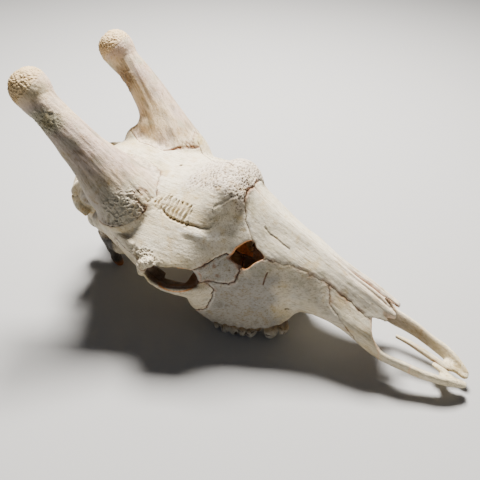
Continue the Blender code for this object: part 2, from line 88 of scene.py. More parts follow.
# the airway in it: x, top z, shoulder, roof edge, side, lower edge, floor z
AIRWAY = [
    (240, 165, 16, 160, 24, 140, 24, 100, 16, 72, 66),
    (262, 192, 32, 182, 58, 150, 56, 100, 26, 58, 52),
    (285, 190, 27, 178, 56, 146, 62, 100, 36, 54, 48),
    (300, 184, 24, 172, 52, 143, 62, 98, 38, 52, 47),
    (325, 171, 18, 157, 42, 134, 54, 95, 36, 52, 47),
    (345, 160, 15, 148, 34, 128, 46, 90, 32, 52, 49),
    (362, 149, 13, 139, 30, 123, 43, 88, 28, 56, 56),
    (380, 138, 12, 130, 26, 115, 40, 84, 27, 61, 61),
    (405, 124, 11, 117, 21, 103, 39, 77, 27, 62, 64),
    (430, 109, 10, 103, 21, 86, 39, 69, 28, 54, 59),
    (455, 97, 9, 91, 21, 72, 38, 60, 29, 38, 49),
    (500, 72, 8, 66, 14, 56, 31, 34, 26, 8, 26),
]
# the nose opening in side view: front edge of the cheek plates, then the free edge of the nasals
NOSE_OPENING = [
    (459, 0, 76), (471, 0, 52), (480, 0, 36), (480, 0, -30), (520, 0, -30), (520, 0, 60), (488, 0, 68),
]
# the opening through the palate in plan, between the palate's front edge and the premaxillae
INCISIVE_OPENING = [(446, -26, 0), (466, -32, 0), (520, -33, 0), (520, 33, 0), (466, 32, 0), (446, 26, 0)]
# the vault: x, top z, roof y z, rim y z, under rim y z, wall y z, foot y z, bottom z
VAULT = [
    (22, 190, 38, 182, 56, 166, 54, 138, 48, 112, 34, 92, 88),
    (34, 204, 42, 195, 66, 170, 60, 142, 52, 116, 36, 90, 85),
    (60, 220, 44, 211, 72, 174, 60, 152, 52, 130, 36, 92, 85),
    (90, 227, 46, 217, 82, 174, 66, 155, 52, 130, 36, 95, 87),
    (135, 221, 50, 211, 100, 164, 80, 151, 52, 132, 36, 97, 89),
    (165, 215, 53, 206, 114, 156, 92, 147, 51, 134, 34, 99, 91),
    (195, 215, 56, 202, 122, 150, 107, 143, 50, 136, 32, 101, 93),
    (226, 225, 54, 204, 115, 147, 103, 140, 48, 134, 30, 103, 95),
    (243, 232, 48, 207, 108, 142, 96, 133, 50, 122, 32, 99, 93),
    (260, 231, 44, 204, 90, 137, 80, 120, 52, 110, 34, 95, 90),
    (273, 225, 40, 199, 74, 140, 64, 118, 50, 106, 34, 95, 90),
    (285, 213, 34, 189, 62, 140, 54, 118, 46, 100, 30, 92, 88),
]
# plates: x, low edge y z, high edge y z, thickness
JUGAL = [
    (270, 72, 68, 80, 100, 12),
    (256, 84, 71, 95, 106, 14),
    (245, 92, 75, 104, 107, 14),
    (232, 99, 82, 112, 106, 11),
    (220, 105, 89, 118, 106, 9),
    (205, 110, 95, 123, 110, 9),
    (190, 112, 101, 124, 120, 9),
    (175, 110, 109, 118, 147, 9),
    (150, 103, 117, 111, 158, 9),
    (125, 94, 123, 101, 158, 9),
    (100, 84, 126, 89, 152, 11),
    (80, 72, 122, 77, 150, 13),
]
TEMPLE_SHELF = [
    (84, 66, 140, 86, 151, 9),
    (105, 74, 147, 97, 156, 9),
    (128, 84, 153, 106, 159, 9),
    (150, 92, 157, 112, 160, 9),
    (168, 98, 157, 116, 158, 8),
]
ORBIT_FLOOR = [
    (182, 104, 103, 116, 110, 5),
    (200, 98, 98, 118, 104, 5),
    (225, 92, 96, 116, 102, 5),
    (246, 88, 100, 102, 104, 6),
]
PREMAXILLA = [
    (418, 32, 58, 33, 88, 6),
    (432, 33, 46, 35, 76, 6),
    (446, 34, 34, 40, 65, 6.5),
    (460, 34, 24, 42.5, 56, 7),
    (470, 33, 17, 41, 49, 7.5),
    (481, 32.5, 13, 42, 37, 8),
    (495, 32, 10, 41, 32, 8.5),
    (512, 31, 6, 38, 27, 9),
    (535, 27, -1, 33, 18, 9),
    (557, 20, -7, 28, 12, 9),
    (573, 14, -11, 21, 6, 9),
    (585, 9, -12, 15, -2, 8),
    (591, 9, -11, 11, -6, 4),
]
PREMAXILLA_BODY = [
    (556, 3, -4, 14, -4, 7),
    (563, 0.5, -5, 21, -2, 8),
    (570, 3.5, -6, 20, -3, 9),
    (577, 4.5, -9, 18, -6, 9),
    (586, 2.5, -11, 13, -8, 8),
    (591, 4.5, -11, 10, -9, 5),
]
# the long rod is the left one's, the right one's is broken off to a short lobe
PALATE_RODS = {
    "left": [(491, 0.5, 25.5, 6, 25, 5.5), (508, 0.5, 20.5, 8.5, 19.5, 6.5), (530, 0.5, 11, 9.5, 10, 8),
             (564, 0.5, -4, 10, -4, 8)],
    "right": [(544, 2, 4, 6, 3, 3), (550, 0.5, 2, 7, 1, 6), (564, 0.5, -4, 9, -4, 8)],
}
PTERYGOID = [
    (160, 19, 66, 22, 92, 5),
    (190, 22, 56, 26, 96, 5.5),
    (215, 25, 42, 30, 98, 7),
    (240, 29, 30, 36, 96, 10),
    (262, 34, 30, 42, 90, 14),
]
VOMER = [(205, 0, 70, 0, 98, 5), (300, 0, 50, 0, 88, 4), (420, 0, 58, 0, 74, 4), (455, 0, 44, 0, 56, 4)]
# rods: x, y, z, radius across, radius up
HORN_CORE = [
    (136, 56, 168, 50, 46),
    (126, 60, 188, 49, 45),
    (114, 65, 205, 44, 42),
    (104, 69, 223, 38, 38),
    (94, 73, 241, 31.5, 32),
    (79.5, 77.5, 263, 26, 27),
    (61.5, 80.5, 287, 22.5, 23.5),
    (44, 81.5, 307, 20.5, 21),
    (34.5, 81.8, 316, 22.5, 22),
    (27, 81.5, 328, 26, 24.5),
    (21, 81, 338, 24.5, 22.5),
    (16, 81, 346, 18.5, 16.5),
    (13, 81, 350, 8, 7),
]
ORBIT_RIM = [(204, 119, 149, 7, 6), (192, 123, 145, 7, 6), (182, 122, 134, 6, 8), (178, 118, 120, 7, 7)]
ORBIT_FRONT = [(238, 99, 137, 3.5, 4), (248, 95, 132, 4, 5), (252, 92, 120, 5, 6), (250, 90, 106, 6, 6)]
ORBIT_BACK = [(188, 122, 143, 8, 6), (180, 112, 128, 9, 7), (184, 104, 112, 9, 6), (196, 100, 101, 8, 5)]
NUCHAL_CREST = [(30, 66, 172, 6, 6), (30, 52, 189, 6, 6), (24, 26, 200, 6, 6), (22, -2, 203, 7, 6)]
TEMPORAL_RIM = [
    (56, 52, 196, 6, 6), (40, 62, 188, 5, 6), (30, 68, 172, 5, 6), (28, 67, 152, 5, 6), (40, 63, 136, 6, 6),
]
EAR_PROCESS = [
    (50, 52, 114, 9, 13), (46, 48, 84, 6, 12), (47, 43, 52, 5, 9), (50, 38, 24, 4.5, 7),
    (51, 37, 18, 3.5, 4.5),
]
THROAT = [(285, 0, 74, 24, 18), (245, 0, 70, 24, 22), (200, 0, 62, 22, 22), (150, 0, 48, 22, 22)]
SPINAL_OPENING = [(-30, 0, 116, 17, 16), (20, 0, 118, 17, 17), (48, 0, 124, 21, 20), (76, 0, 129, 19, 17)]
EAR_CANAL = [(66, 110, 122, 5, 5), (70, 60, 120, 5, 5)]
# the gap beside each nasal, on the surface, between it, the frontal, the lacrimal and the maxilla
FACIAL_GAP = [
    (278, 73, 146), (284, 66, 149), (287, 59, 154), (292, 55, 158), (298, 48, 161), (305, 43, 160),
    (309, 47, 153), (315, 46, 148), (322, 48, 142), (316, 54, 140), (311, 58, 138), (306, 62, 131),
    (300, 67, 129), (296, 66, 134), (291, 69, 136), (284, 71, 142),
]
# the notch between the two points of each nasal's free end, in plan
NASAL_NOTCH = [(469, 17.2, 0), (500, 10.5, 0), (500, 19.5, 0)]
# and the notch where the two nasals part at their tips
TIP_NOTCH = [(462, -1.5, 0), (496, -12, 0), (496, -1, 0)]
# swellings on the midline and on each side: centre, radii
MIDLINE_SWELLINGS = [
    ((254, 0, 192), (34, 42, 43)),      # the brow under its knob
    ((249, 0, 150), (38, 76, 83)),      # the face between the orbits
]
SIDE_SWELLINGS = [
    ((84, 70, 140), (26, 16, 20)),      # the ear region
    ((130, 88, 172), (36, 22, 17)),     # over the temple
    ((245, 62, 52), (23, 20, 32)),      # over the hindmost cheek tooth
    ((255, 20, 192), (31, 30, 39)),     # the flank of the brow's knob
    ((80, 47, 208), (36, 27, 28)),      # the vault inside the horn's foot
    ((90, 58, 226), (26, 24, 30)),      # and its rise to the shaft
]
# hollows on each side: centre, radii
SIDE_HOLLOWS = [
    ((225, 102, 123), (30, 40, 22)),    # the orbit
    ((58, 80, 164), (18, 16, 18)),      # the pit of the temple, before the neck crest
]
# bulges of the skull base on each side: centre, radii, turn about Y in degrees
SIDE_BULGES = [
    ((15, 24, 99), (18, 18, 22), 20),   # the condyle
    ((62, 40, 72), (24, 14, 20), 10),   # the floor of the ear
]


def through(keys, x):
    """Smooth values at x from rows of (x, value, value ...), without overshoot between the rows."""
    keys = np.array(sorted(map(tuple, keys)), float)
    at, val = keys[:, 0], keys[:, 1:]
    step = np.diff(at)
    slope = np.diff(val, axis=0) / step[:, None]
    tangent = np.vstack([slope[:1], (slope[1:] + slope[:-1]) / 2.0, slope[-1:]])
    flat = slope[1:] * slope[:-1] <= 0.0
    tangent[1:-1][flat] = 0.0
    x = np.clip(np.atleast_1d(x).astype(float), at[0], at[-1])
    i = np.clip(np.searchsorted(at, x) - 1, 0, len(step) - 1)
    h = step[i][:, None]
    t = ((x - at[i]) / step[i])[:, None]
    return ((2 * t**3 - 3 * t**2 + 1) * val[i] + (t**3 - 2 * t**2 + t) * h * tangent[i]
            + (3 * t**2 - 2 * t**3) * val[i + 1] + (t**3 - t**2) * h * tangent[i + 1])


def closed_curve(points, count):
    """A closed smooth curve through points, as count points."""
    p = np.array(points, float)
    u = np.linspace(0.0, len(p), count, endpoint=False)
    i = u.astype(int)
    t = (u - i)[:, None]
    a, b, c, d = (p[(i + k) % len(p)] for k in (-1, 0, 1, 2))
    return 0.5 * (2 * b + (c - a) * t + (2 * a - 5 * b + 4 * c - d) * t**2 + (3 * b - a - 3 * c + d) * t**3)


def written(bm, mesh):
    """The mesh with the bmesh written into it; the bmesh goes."""
    bm.to_mesh(mesh)
    bm.free()
    return mesh


def loft(rings):
    """A closed mesh over a row of rings, with a flat cap at each end."""
    count = len(rings[0])
    bm = bmesh.new()
    rows = [[bm.verts.new(p) for p in ring] for ring in rings]
    for low, high in zip(rows, rows[1:]):
        for i in range(count):
            j = (i + 1) % count
            bm.faces.new((low[i], low[j], high[j], high[i]))
    bm.faces.new(rows[0][::-1])
    bm.faces.new(rows[-1])
    bmesh.ops.recalc_face_normals(bm, faces=bm.faces)
    return written(bm, bpy.data.meshes.new("form"))


def section_loft(stations):
    """A form along X, alike on both sides, from stations (x, top z, y, z, y, z ..., bottom z)."""
    xs = np.arange(stations[0][0], stations[-1][0] + 0.5 * FORM_STEP, FORM_STEP)
    rings = []
    for x, row in zip(xs, through(stations, xs)):
        half = [(0.0, row[0])] + list(zip(row[1:-1:2], row[2:-1:2])) + [(0.0, row[-1])]
        loop = half + [(-y, z) for y, z in half[-2:0:-1]]
        rings.append([(x, y, z) for y, z in closed_curve(loop, RING_POINTS)])
    return loft(rings)


def blade(side, stations):
    """A plate along X with rounded edges, from stations (x, y low, z low, y high, z high, thickness)."""
    ends = sorted((stations[0][0], stations[-1][0]))
    xs = np.linspace(*ends, int((ends[1] - ends[0]) / BLADE_STEP) + 2)
    rings = []
    for x, (y0, z0, y1, z1, thick) in zip(xs, through(stations, xs)):
        low = Vector((y0 * side, z0))
        high = Vector((y1 * side, z1))
        middle = (low + high) / 2.0
        along = (high - low) / 2.0
        across = Vector((-along.y, along.x)).normalized() * thick / 2.0
        ring = []
        for k in range(BLADE_POINTS):
            turn = 2.0 * math.pi * k / BLADE_POINTS
            reach = abs(math.cos(turn)) ** 0.6 * math.copysign(1.0, math.cos(turn))
            bulge = abs(math.sin(turn)) ** 0.8 * math.copysign(1.0, math.sin(turn))
            p = middle + along * reach + across * bulge
            ring.append((x, p.x, p.y))
        rings.append(ring)
    return loft(rings)


def rod(side, stations):
    """A rod through stations (x, y, z, radius across, radius up), round in section."""
    rows = np.array(stations, float)
    rows[:, 1] *= side
    length = np.r_[0.0, np.cumsum(np.linalg.norm(np.diff(rows[:, :3], axis=0), axis=1))]
    spots = np.linspace(0.0, length[-1], max(3, int(length[-1] / FORM_STEP) + 1))
    run = through(np.column_stack([length, rows]), spots)
    rings = []
    for row, way in zip(run, np.gradient(run[:, :3], axis=0)):
        way = Vector(way).normalized()
        across = way.cross(Vector((0.0, 0.0, 1.0)))
        if across.length < 0.2:
            across = way.cross(Vector((1.0, 0.0, 0.0)))
        across.normalize()
        up = across.cross(way)
        ring = []
        for k in range(ROD_POINTS):
            turn = 2.0 * math.pi * k / ROD_POINTS
            ring.append(Vector(row[:3]) + across * row[3] * math.cos(turn) + up * row[4] * math.sin(turn))
        rings.append(ring)
    return loft(rings)


def egg(side, centre, radii, turn=0.0):
    """An ellipsoid, turned about Y by an angle in degrees."""
    bm = bmesh.new()
    bmesh.ops.create_icosphere(bm, subdivisions=4, radius=1.0)
    place = Matrix.Translation((centre[0], centre[1] * side, centre[2]))
    bm.transform(place @ Matrix.Rotation(math.radians(turn), 4, "Y") @ Matrix.Diagonal((*radii, 1.0)))
    return written(bm, bpy.data.meshes.new("form"))


def prism(points, way, start, stop):
    """A closed block: the loop of points swept along way, from start to stop."""
    way = Vector(way).normalized()
    mesh = loft([[Vector(p) + way * start for p in points], [Vector(p) + way * stop for p in points]])
    bm = bmesh.new()
    bm.from_mesh(mesh)
    bmesh.ops.triangulate(bm, faces=[f for f in bm.faces if len(f.verts) > 4])
    return written(bm, mesh)


def mirrored(points, side):
    """The points, given for the left, on the side that is asked for."""
    return [(x, y * side, z) for x, y, z in points]


def evaluated(obj):
    """The object's mesh with its modifiers worked in; the object goes."""
    depsgraph = bpy.context.evaluated_depsgraph_get()
    mesh = bpy.data.meshes.new_from_object(obj.evaluated_get(depsgraph))
    bpy.data.objects.remove(obj)
    return mesh


def on_bench(name, data):
    """An object that holds a mesh, a lamp or a camera, linked to the scene."""
    obj = bpy.data.objects.new(name, data)
    bpy.context.scene.collection.objects.link(obj)
    return obj


def fused(forms, grid, passes):
    """Forms that run into one another made one skin, and smoothed by a number of passes."""
    bm = bmesh.new()
    for form in forms:
        bm.from_mesh(form)
    rough = on_bench("rough", written(bm, bpy.data.meshes.new("forms")))
    skin = rough.modifiers.new("fuse", "REMESH")
    skin.mode = "VOXEL"
    skin.voxel_size = grid
    soften = rough.modifiers.new("soften", "SMOOTH")
    soften.factor = 0.5
    soften.iterations = passes
    return evaluated(rough)


def carved(mesh, cutter, how="DIFFERENCE"):
    """The mesh cut by another closed mesh, or kept inside it; cut faces take the second material slot."""
    work = on_bench("work", mesh)
    tool = on_bench("tool", cutter)
    cut = work.modifiers.new("cut", "BOOLEAN")
    cut.operation = how
    cut.solver = "MANIFOLD"
    cut.material_mode = "INDEX"
    cut.object = tool
    result = evaluated(work)
    bpy.data.objects.remove(tool)
    return result


masses = [section_loft(FACE), section_loft(VAULT)] + [egg(1, *form) for form in MIDLINE_SWELLINGS]
spaces = [section_loft(AIRWAY), prism(NOSE_OPENING, (0, 1, 0), -90, 90)]
spaces += [prism(INCISIVE_OPENING, (0, 0, 1), -30, 60), rod(1, THROAT), rod(1, SPINAL_OPENING)]
spaces.append(prism(TIP_NOTCH, (0, 0, 1), 62, 120))
plates = [blade(1, VOMER)]
for side_name, side in SIDES.items():
    masses += [egg(side, *form) for form in SIDE_SWELLINGS]
    masses.append(rod(side, HORN_CORE))
    spaces += [egg(side, *form) for form in SIDE_HOLLOWS]
    spaces.append(prism(mirrored(FACIAL_GAP, side), (0, 0.75 * side, 0.66), -16, 16))
    spaces.append(prism(mirrored(NASAL_NOTCH, side), (0, 0, 1), 40, 120))
    spaces.append(rod(side, EAR_CANAL))
    plates += [blade(side, stations) for stations in (
        JUGAL, TEMPLE_SHELF, ORBIT_FLOOR, PREMAXILLA, PREMAXILLA_BODY, PALATE_RODS[side_name], PTERYGOID)]
    plates += [rod(side, stations) for stations in (
        ORBIT_RIM, ORBIT_FRONT, ORBIT_BACK, NUCHAL_CREST, TEMPORAL_RIM, EAR_PROCESS)]
    plates += [egg(side, *form) for form in SIDE_BULGES]

# the heavy forms are smoothed the most, so that they run into one another, and the hollows keep their edges
hollow = fused(spaces, GRID, passes=4)
skull = carved(fused(masses, GRID, passes=40), hollow)
skull = fused([skull] + plates, FINE_GRID, passes=12)

# Horn cores
# An ossicone is a bony horn that grows under the skin and joins the vault late, so an open seam still runs
# round its broad foot. Vessels have scored the shaft, the knob is beaded like coral, and worm-like ridges
# have overgrown the outside of the foot.
HORN_FEET = {
    "right": [
        (159, 25, 215), (167, 47, 209), (174, 58, 202), (170, 69, 200), (169, 75, 199), (173, 85, 187),
        (165, 97, 183), (152, 105, 178), (128, 112, 171), (102, 106, 171), (84, 88, 177), (76, 58, 190),
        (82, 30, 202), (102, 14, 212), (134, 12, 217),
    ],
    "left": [
        (132, 18, 221), (149, 35, 217), (162, 52, 213), (163, 70, 208), (160, 88, 196), (148, 106, 180),
        (128, 112, 171), (102, 106, 171), (84, 88, 177), (76, 58, 190), (82, 30, 202), (102, 14, 214),
    ],
}
HORN_WAY = (-0.55, 0.17, 0.82)
HORN_UP = np.array(HORN_WAY) / np.linalg.norm(HORN_WAY)
HORN_KNOB = np.array((25.0, 81.5, 331.0))
# factors that lay points flat, as seen from above
PLAN = np.array((1.0, 1.0, 0.0))
# the rusty crack along the inner foot of the left core, in plan
BASE_CRACK = [(134, 19, 0), (142, 29, 0), (150, 38, 0), (158, 47, 0), (164, 60, 0)]
BEADS = 2.9                # spacing of the coral beads, mm
VESSELS = 3.4              # spacing of the scored lines, mm, coarser than the finest real ones
TOOTHING = 2.4             # length of one tooth of a suture, mm
CREASE = math.radians(62.0)    # a sharper bend between two faces isn't shaded smooth
FAR = 99.0                 # a distance beyond all that a seam does to the bone, mm
# the slots that tell a bone's faces apart while it is cut
SKIN = 0
OPEN_WALL = 1
SHUT_WALL = 2
BONE_WHITE = "#e6dac0"
HORN_CREAM = "#d6c09e"
HORN_PINK = "#cfb7a6"
HORN_GREEN = "#a9a58a"
HORN_BROWN = "#8a6f4c"
SOIL = "#523319"
RUST = "#93592b"


def chance(cell, seed):
    """A steady pseudo-random number from 0 to 1 for each whole-numbered place."""
    cell = cell.astype(np.int64)
    mixed = (cell[:, 0] * 374761393 + cell[:, 1] * 668265263 + cell[:, 2] * 2147483647
             + seed * 1274126177) & 0xFFFFFFFF
    mixed = ((mixed ^ (mixed >> 13)) * 1274126177) & 0xFFFFFFFF
    return ((mixed ^ (mixed >> 16)) & 0xFFFFFF) / float(0xFFFFFF)


def mottle(p, size, seed):
    """Soft noise from -1 to 1 with features of a size in mm, one value for each point."""
    q = p / size + 0.37 * seed
    base = np.floor(q)
    f = q - base
    f = f * f * (3.0 - 2.0 * f)
    total = np.zeros(len(p))
    for corner in np.ndindex(2, 2, 2):
        share = np.prod(np.abs(1.0 - np.array(corner) - f), axis=1)
        total += share * chance(base + corner, seed)
    return total * 2.0 - 1.0


def grains(p, size, seed):
    """The distance from each point to the nearest of scattered seeds, in units of their spacing."""
    q = p / size
    base = np.floor(q)
    best = np.full(len(p), 9.0)
    for step in np.ndindex(3, 3, 3):
        cell = base + step - 1.0
        spot = cell + np.column_stack([chance(cell, seed + axis) for axis in range(3)])
        best = np.minimum(best, ((spot - q) ** 2).sum(axis=1))
    return np.sqrt(best)


def fade(value, start, stop):
    """0 where the value is at start, 1 where it is at stop, and smooth between."""
    t = np.clip((value - start) / (stop - start), 0.0, 1.0)
    return t * t * (3.0 - 2.0 * t)


def near(p, centre, reach):
    """1 round a centre and 0 beyond a reach in mm; a reach of three numbers is an ellipsoid's."""
    gap = np.linalg.norm((p - np.array(centre, float)) / np.array(reach, float), axis=1)
    return 1.0 - fade(gap, 0.45, 1.0)


def off_line(p, points):
    """The distance from each point to a line through points, and how far along it that is, from 0 to 1."""
    line = np.array(points, float)
    whole = np.linalg.norm(np.diff(line, axis=0), axis=1).sum()
    best = np.full(len(p), 1e9)
    along = np.zeros(len(p))
    close = np.flatnonzero(np.linalg.norm(p - line.mean(axis=0), axis=1) < whole)
    q = p[close]
    done = 0.0
    for a, b in zip(line[:-1], line[1:]):
        span = b - a
        t = np.clip(((q - a) @ span) / (span @ span), 0.0, 1.0)
        gap = np.linalg.norm(q - a - t[:, None] * span, axis=1)
        shorter = gap < best[close]
        best[close[shorter]] = gap[shorter]
        along[close[shorter]] = (done + t[shorter] * np.linalg.norm(span)) / whole
        done += np.linalg.norm(span)
    return best, along


def side_of(p):
    """1 for the points of a bone on the left, -1 for those of one on the right."""
    return np.sign(p[:, 1].mean())


def on_left(p):
    """The points of a bone of one side, as they lie on the left."""
    return p * (1.0, side_of(p), 1.0)


def streaked(p, along, shrunk=0.92):
    """The points with their spread along a direction shrunk, for noise that runs in streaks."""
    way = np.array(along, float) / np.linalg.norm(along)
    return p - shrunk * np.outer(p @ way, way)


def toothed(points, way, amount):
    """The loop with its sides broken into a suture's small teeth; a side on the midline stays straight."""
    way = np.array(way, float) / np.linalg.norm(way)
    out = []
    for i, start in enumerate(points):
        a = np.array(start, float)
        b = np.array(points[(i + 1) % len(points)], float)
        count = max(1, int(round(np.linalg.norm(b - a) / TOOTHING)))
        run = np.round(a + (b - a) * np.arange(count)[:, None] / count, 4)
        wave = np.column_stack([
            mottle(run, 2.1, axis) + 0.7 * mottle(run, 7.0, axis + 5) for axis in range(3)])
        wave -= np.outer(wave @ way, way)
        on_midline = way[2] > 0.9 and abs(a[1]) < 0.5 and abs(b[1]) < 0.5
        run += wave * (0.0 if on_midline else amount)
        out += [Vector(row) for row in run]
    return out


def widened(loop, way, by):
    """The loop moved outwards by a width, as seen along way."""
    way = Vector(way).normalized()
    flat = [p - way * p.dot(way) for p in loop]
    area = sum(a.cross(b).dot(way) for a, b in zip(flat, flat[1:] + flat[:1]))
    turn = math.copysign(1.0, area)
    out = []
    for i, p in enumerate(loop):
        before = (flat[i] - flat[i - 1]).normalized().cross(way) * turn
        after = (flat[(i + 1) % len(flat)] - flat[i]).normalized().cross(way) * turn
        out.append(p + (before + after) * by / max(0.7, 1.0 + before.dot(after)))
    return out


def slotted(mesh):
    """The mesh with an empty slot each for its skin, the walls of open seams and those of shut ones."""
    mesh.materials.clear()
    for _ in (SKIN, OPEN_WALL, SHUT_WALL):
        mesh.materials.append(None)
    return mesh


def cut_block(loop, way, start, stop, slot):
    """A block for cutting, whose faces leave their slot on what they cut."""
    block = slotted(prism(loop, way, start, stop))
    block.polygons.foreach_set("material_index", np.full(len(block.polygons), slot, np.int32))
    return block


def values_of(items, name, width=1, kind=np.int32):
    """A property of a mesh's points, edges, corners or faces as an array, in rows if it has a width."""
    values = np.empty(len(items) * width, kind)
    items.foreach_get(name, values)
    return values.reshape(-1, width) if width > 1 else values


def places(mesh):
    """The mesh's points as rows of x, y and z."""
    return values_of(mesh.vertices, "co", 3, float)


def finder(points):
    """A search tree that finds the nearest of the points."""
    tree = kdtree.KDTree(len(points))
    for index, point in enumerate(points):
        tree.insert(point, index)
    tree.balance()
    return tree


def one_body(mesh):
    """The mesh without loose scraps: only its largest closed surface."""
    count = len(mesh.vertices)
    a, b = values_of(mesh.edges, "vertices", 2).T
    body = np.arange(count)
    while True:
        low = np.minimum(body[a], body[b])
        merged = body.copy()
        np.minimum.at(merged, body[a], low)
        np.minimum.at(merged, body[b], low)
        merged = merged[merged]
        if np.array_equal(merged, body):
            break
        body = merged
    keep = body == np.bincount(body, minlength=count).argmax()
    bm = bmesh.new()
    bm.from_mesh(mesh)
    bmesh.ops.delete(bm, geom=[v for v, kept in zip(bm.verts, keep) if not kept], context="VERTS")
    bmesh.ops.triangulate(bm, faces=[f for f in bm.faces if len(f.verts) > 4])
    return written(bm, mesh)


def freed(skull, loop, way, start, stop, teeth, gap, slot=OPEN_WALL):
    """The bone inside a block, cut free along a toothed line, and the rest of the skull beyond a gap."""
    line = toothed(loop, way, teeth)
    bone = carved(skull, cut_block(line, way, start, stop, slot), "INTERSECT")
    wide = widened(line, way, gap)
    return one_body(bone), carved(skull, cut_block(wide, way, start - gap, stop + gap, slot))


def ironed(mesh, values, passes):
    """Values at the mesh's points, averaged with their neighbours a number of times."""
    count = len(mesh.vertices)
    a, b = values_of(mesh.edges, "vertices", 2).T
    share = np.maximum(np.bincount(a, minlength=count) + np.bincount(b, minlength=count), 1)[:, None]
    for _ in range(passes):
        total = np.column_stack([
            np.bincount(a, values[b, k], count) + np.bincount(b, values[a, k], count)
            for k in range(values.shape[1])])
        values = 0.4 * values + 0.6 * total / share
    return values


def finer(mesh, chosen):
    """The mesh with each face whose points are all chosen split, for relief finer than its grid."""
    bm = bmesh.new()
    bm.from_mesh(mesh)
    picked = [f for f in bm.faces if all(chosen[v.index] for v in f.verts)]
    edges = list({edge for f in picked for edge in f.edges})
    bmesh.ops.subdivide_edges(bm, edges=edges, cuts=1, use_grid_fill=True)
    bmesh.ops.triangulate(bm, faces=[f for f in bm.faces if len(f.verts) > 4])
    return written(bm, mesh)


def linear(code):
    """An sRGB hex colour as linear red, green and blue."""
    parts = [int(code[i:i + 2], 16) / 255.0 for i in (1, 3, 5)]
    return np.array([c / 12.92 if c <= 0.04045 else ((c + 0.055) / 1.055) ** 2.4 for c in parts])


def blended(under, code, amount):
    """Colours covered with another one by an amount from 0 to 1, the same for all or one at each point."""
    amount = np.clip(np.broadcast_to(amount, len(under)), 0.0, 1.0)
    return under + (linear(code) - under) * amount[:, None]


def skin_normals(mesh):
    """The normal at each point, from the grown skin alone where it has any, and whether an open seam's wall
    reaches it."""
    corners = values_of(mesh.loops, "vertex_index")
    totals = values_of(mesh.polygons, "loop_total")
    slot = values_of(mesh.polygons, "material_index")
    skin = np.where(slot == SKIN, 1.0, 1e-4)[:, None] * values_of(mesh.polygons, "normal", 3, float)
    spread = np.repeat(skin, totals, axis=0)
    total = np.column_stack([np.bincount(corners, spread[:, k], len(mesh.vertices)) for k in range(3)])
    on_wall = np.zeros(len(mesh.vertices), bool)
    on_wall[corners[np.repeat(slot == OPEN_WALL, totals)]] = True
    return total / np.maximum(np.linalg.norm(total, axis=1), 1e-9)[:, None], on_wall


def openness(p):
    """How far a seam has opened, from 0, grown shut, to 1, wide. The feet of the horns are closing."""
    x, y, z = p.T
    horn = fade(x, 188.0, 180.0) * fade(z, 160.0, 172.0)
    shut = fade(y, -26.0, -14.0) * fade(y, 14.0, 4.0)
    middle = fade(np.abs(y), 5.0, 2.0) * fade(x, 284.0, 296.0) * fade(x, 440.0, 410.0)
    snout = fade(x, 324.0, 336.0) * (1.0 - 0.6 * fade(x, 396.0, 404.0))
    wide = (1.0 - 0.3 * horn) * (1.0 - horn * shut) * (1.0 - 0.88 * middle) * (1.0 - 0.45 * snout)
    return wide * (0.72 + 0.28 * mottle(p, 11.0, 75))


def dressed(mesh, relief, paint, along):
    """The bone with its relief worked in, its edges crumbled and its colours laid on as attributes. For the
    points and their normals, relief gives the height in mm and where the bone is open-pored, from 0 to 1,
    and paint gives the colour; inner is 1 on the walls of a hollow, and along is the way the grain runs."""
    p = places(mesh)
    normal, on_wall = skin_normals(mesh)
    walls = finder(p[on_wall])
    seam = np.array([walls.find(co)[2] if on_wall.any() else FAR for co in p])
    lining = np.array([hollow_points.find(co)[2] for co in p])
    inner = fade(lining, 1.6, 0.7)
    wide = openness(p) * (1.0 - 0.9 * inner)

    push, pits = relief(p, normal)
    crumbs = 0.5 + 0.5 * mottle(p, 2.6, 71)
    push -= wide * (0.35 + 0.8 * crumbs) * fade(seam, 2.2, 0.0)
    push += 0.25 * wide * fade(seam, 1.6, 2.6) * fade(seam, 5.0, 3.4)
    new = p + normal * push[:, None]
    hollow = ((ironed(mesh, new, 5) - new) * normal).sum(axis=1)
    mesh.vertices.foreach_set("co", new.ravel())

    patchy = mottle(p, 8.0, 72) + 0.6 * mottle(p, 3.0, 73)
    soil = wide * fade(seam, 1.3 + 0.7 * patchy, 0.1)
    soil = np.maximum(soil, fade(hollow, 0.14, 0.6) * fade(patchy, -1.6, 0.6))
    rust = 0.85 * wide * fade(seam, 4.5 + 2.5 * patchy, 0.5)
    rust *= fade(patchy + 0.8 * mottle(p, 30.0, 74), -0.5, 0.9)
    chalk = wide * fade(seam, 1.2, 2.0) * fade(seam, 4.2, 2.6)
    colour = blended(paint(p, normal, inner), "#efe8d8", 0.5 * chalk)
    colour = blended(colour, RUST, rust)
    # painted shade and highlight: the colour is made darker in hollows by their depth and lighter on raised
    # places
    colour *= 1.0 - 0.28 * fade(hollow, 0.04, 0.45)[:, None] + 0.12 * fade(hollow, -0.04, -0.4)[:, None]

    for name, kind, field, values in (
        ("paint", "FLOAT_COLOR", "color", np.column_stack([colour, np.ones(len(p))])),
        ("grain", "FLOAT_VECTOR", "vector", streaked(p, along, 0.93)),
        ("soil", "FLOAT", "value", soil),
        ("pits", "FLOAT", "value", np.clip(pits, 0.0, 1.0)),
    ):
        mesh.attributes.new(name, kind, "POINT").data.foreach_set(field, values.ravel())
    return mesh


def laid(name, mesh, finish, slot, *nodes):
    """The bone laid to rest in metres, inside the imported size, in place of its plain solids."""
    mesh.transform(REST)
    inside = np.clip(places(mesh), np.array(cad_box[0]), np.array(cad_box[1]))
    mesh.vertices.foreach_set("co", inside.ravel())
    mesh.shade_smooth()
    mesh.set_sharp_from_angle(angle=CREASE)
    mesh.materials.clear()
    mesh.materials.append(finish)
    piece = on_bench(name, mesh)
    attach(piece, "root")
    if nodes:
        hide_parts(*nodes)


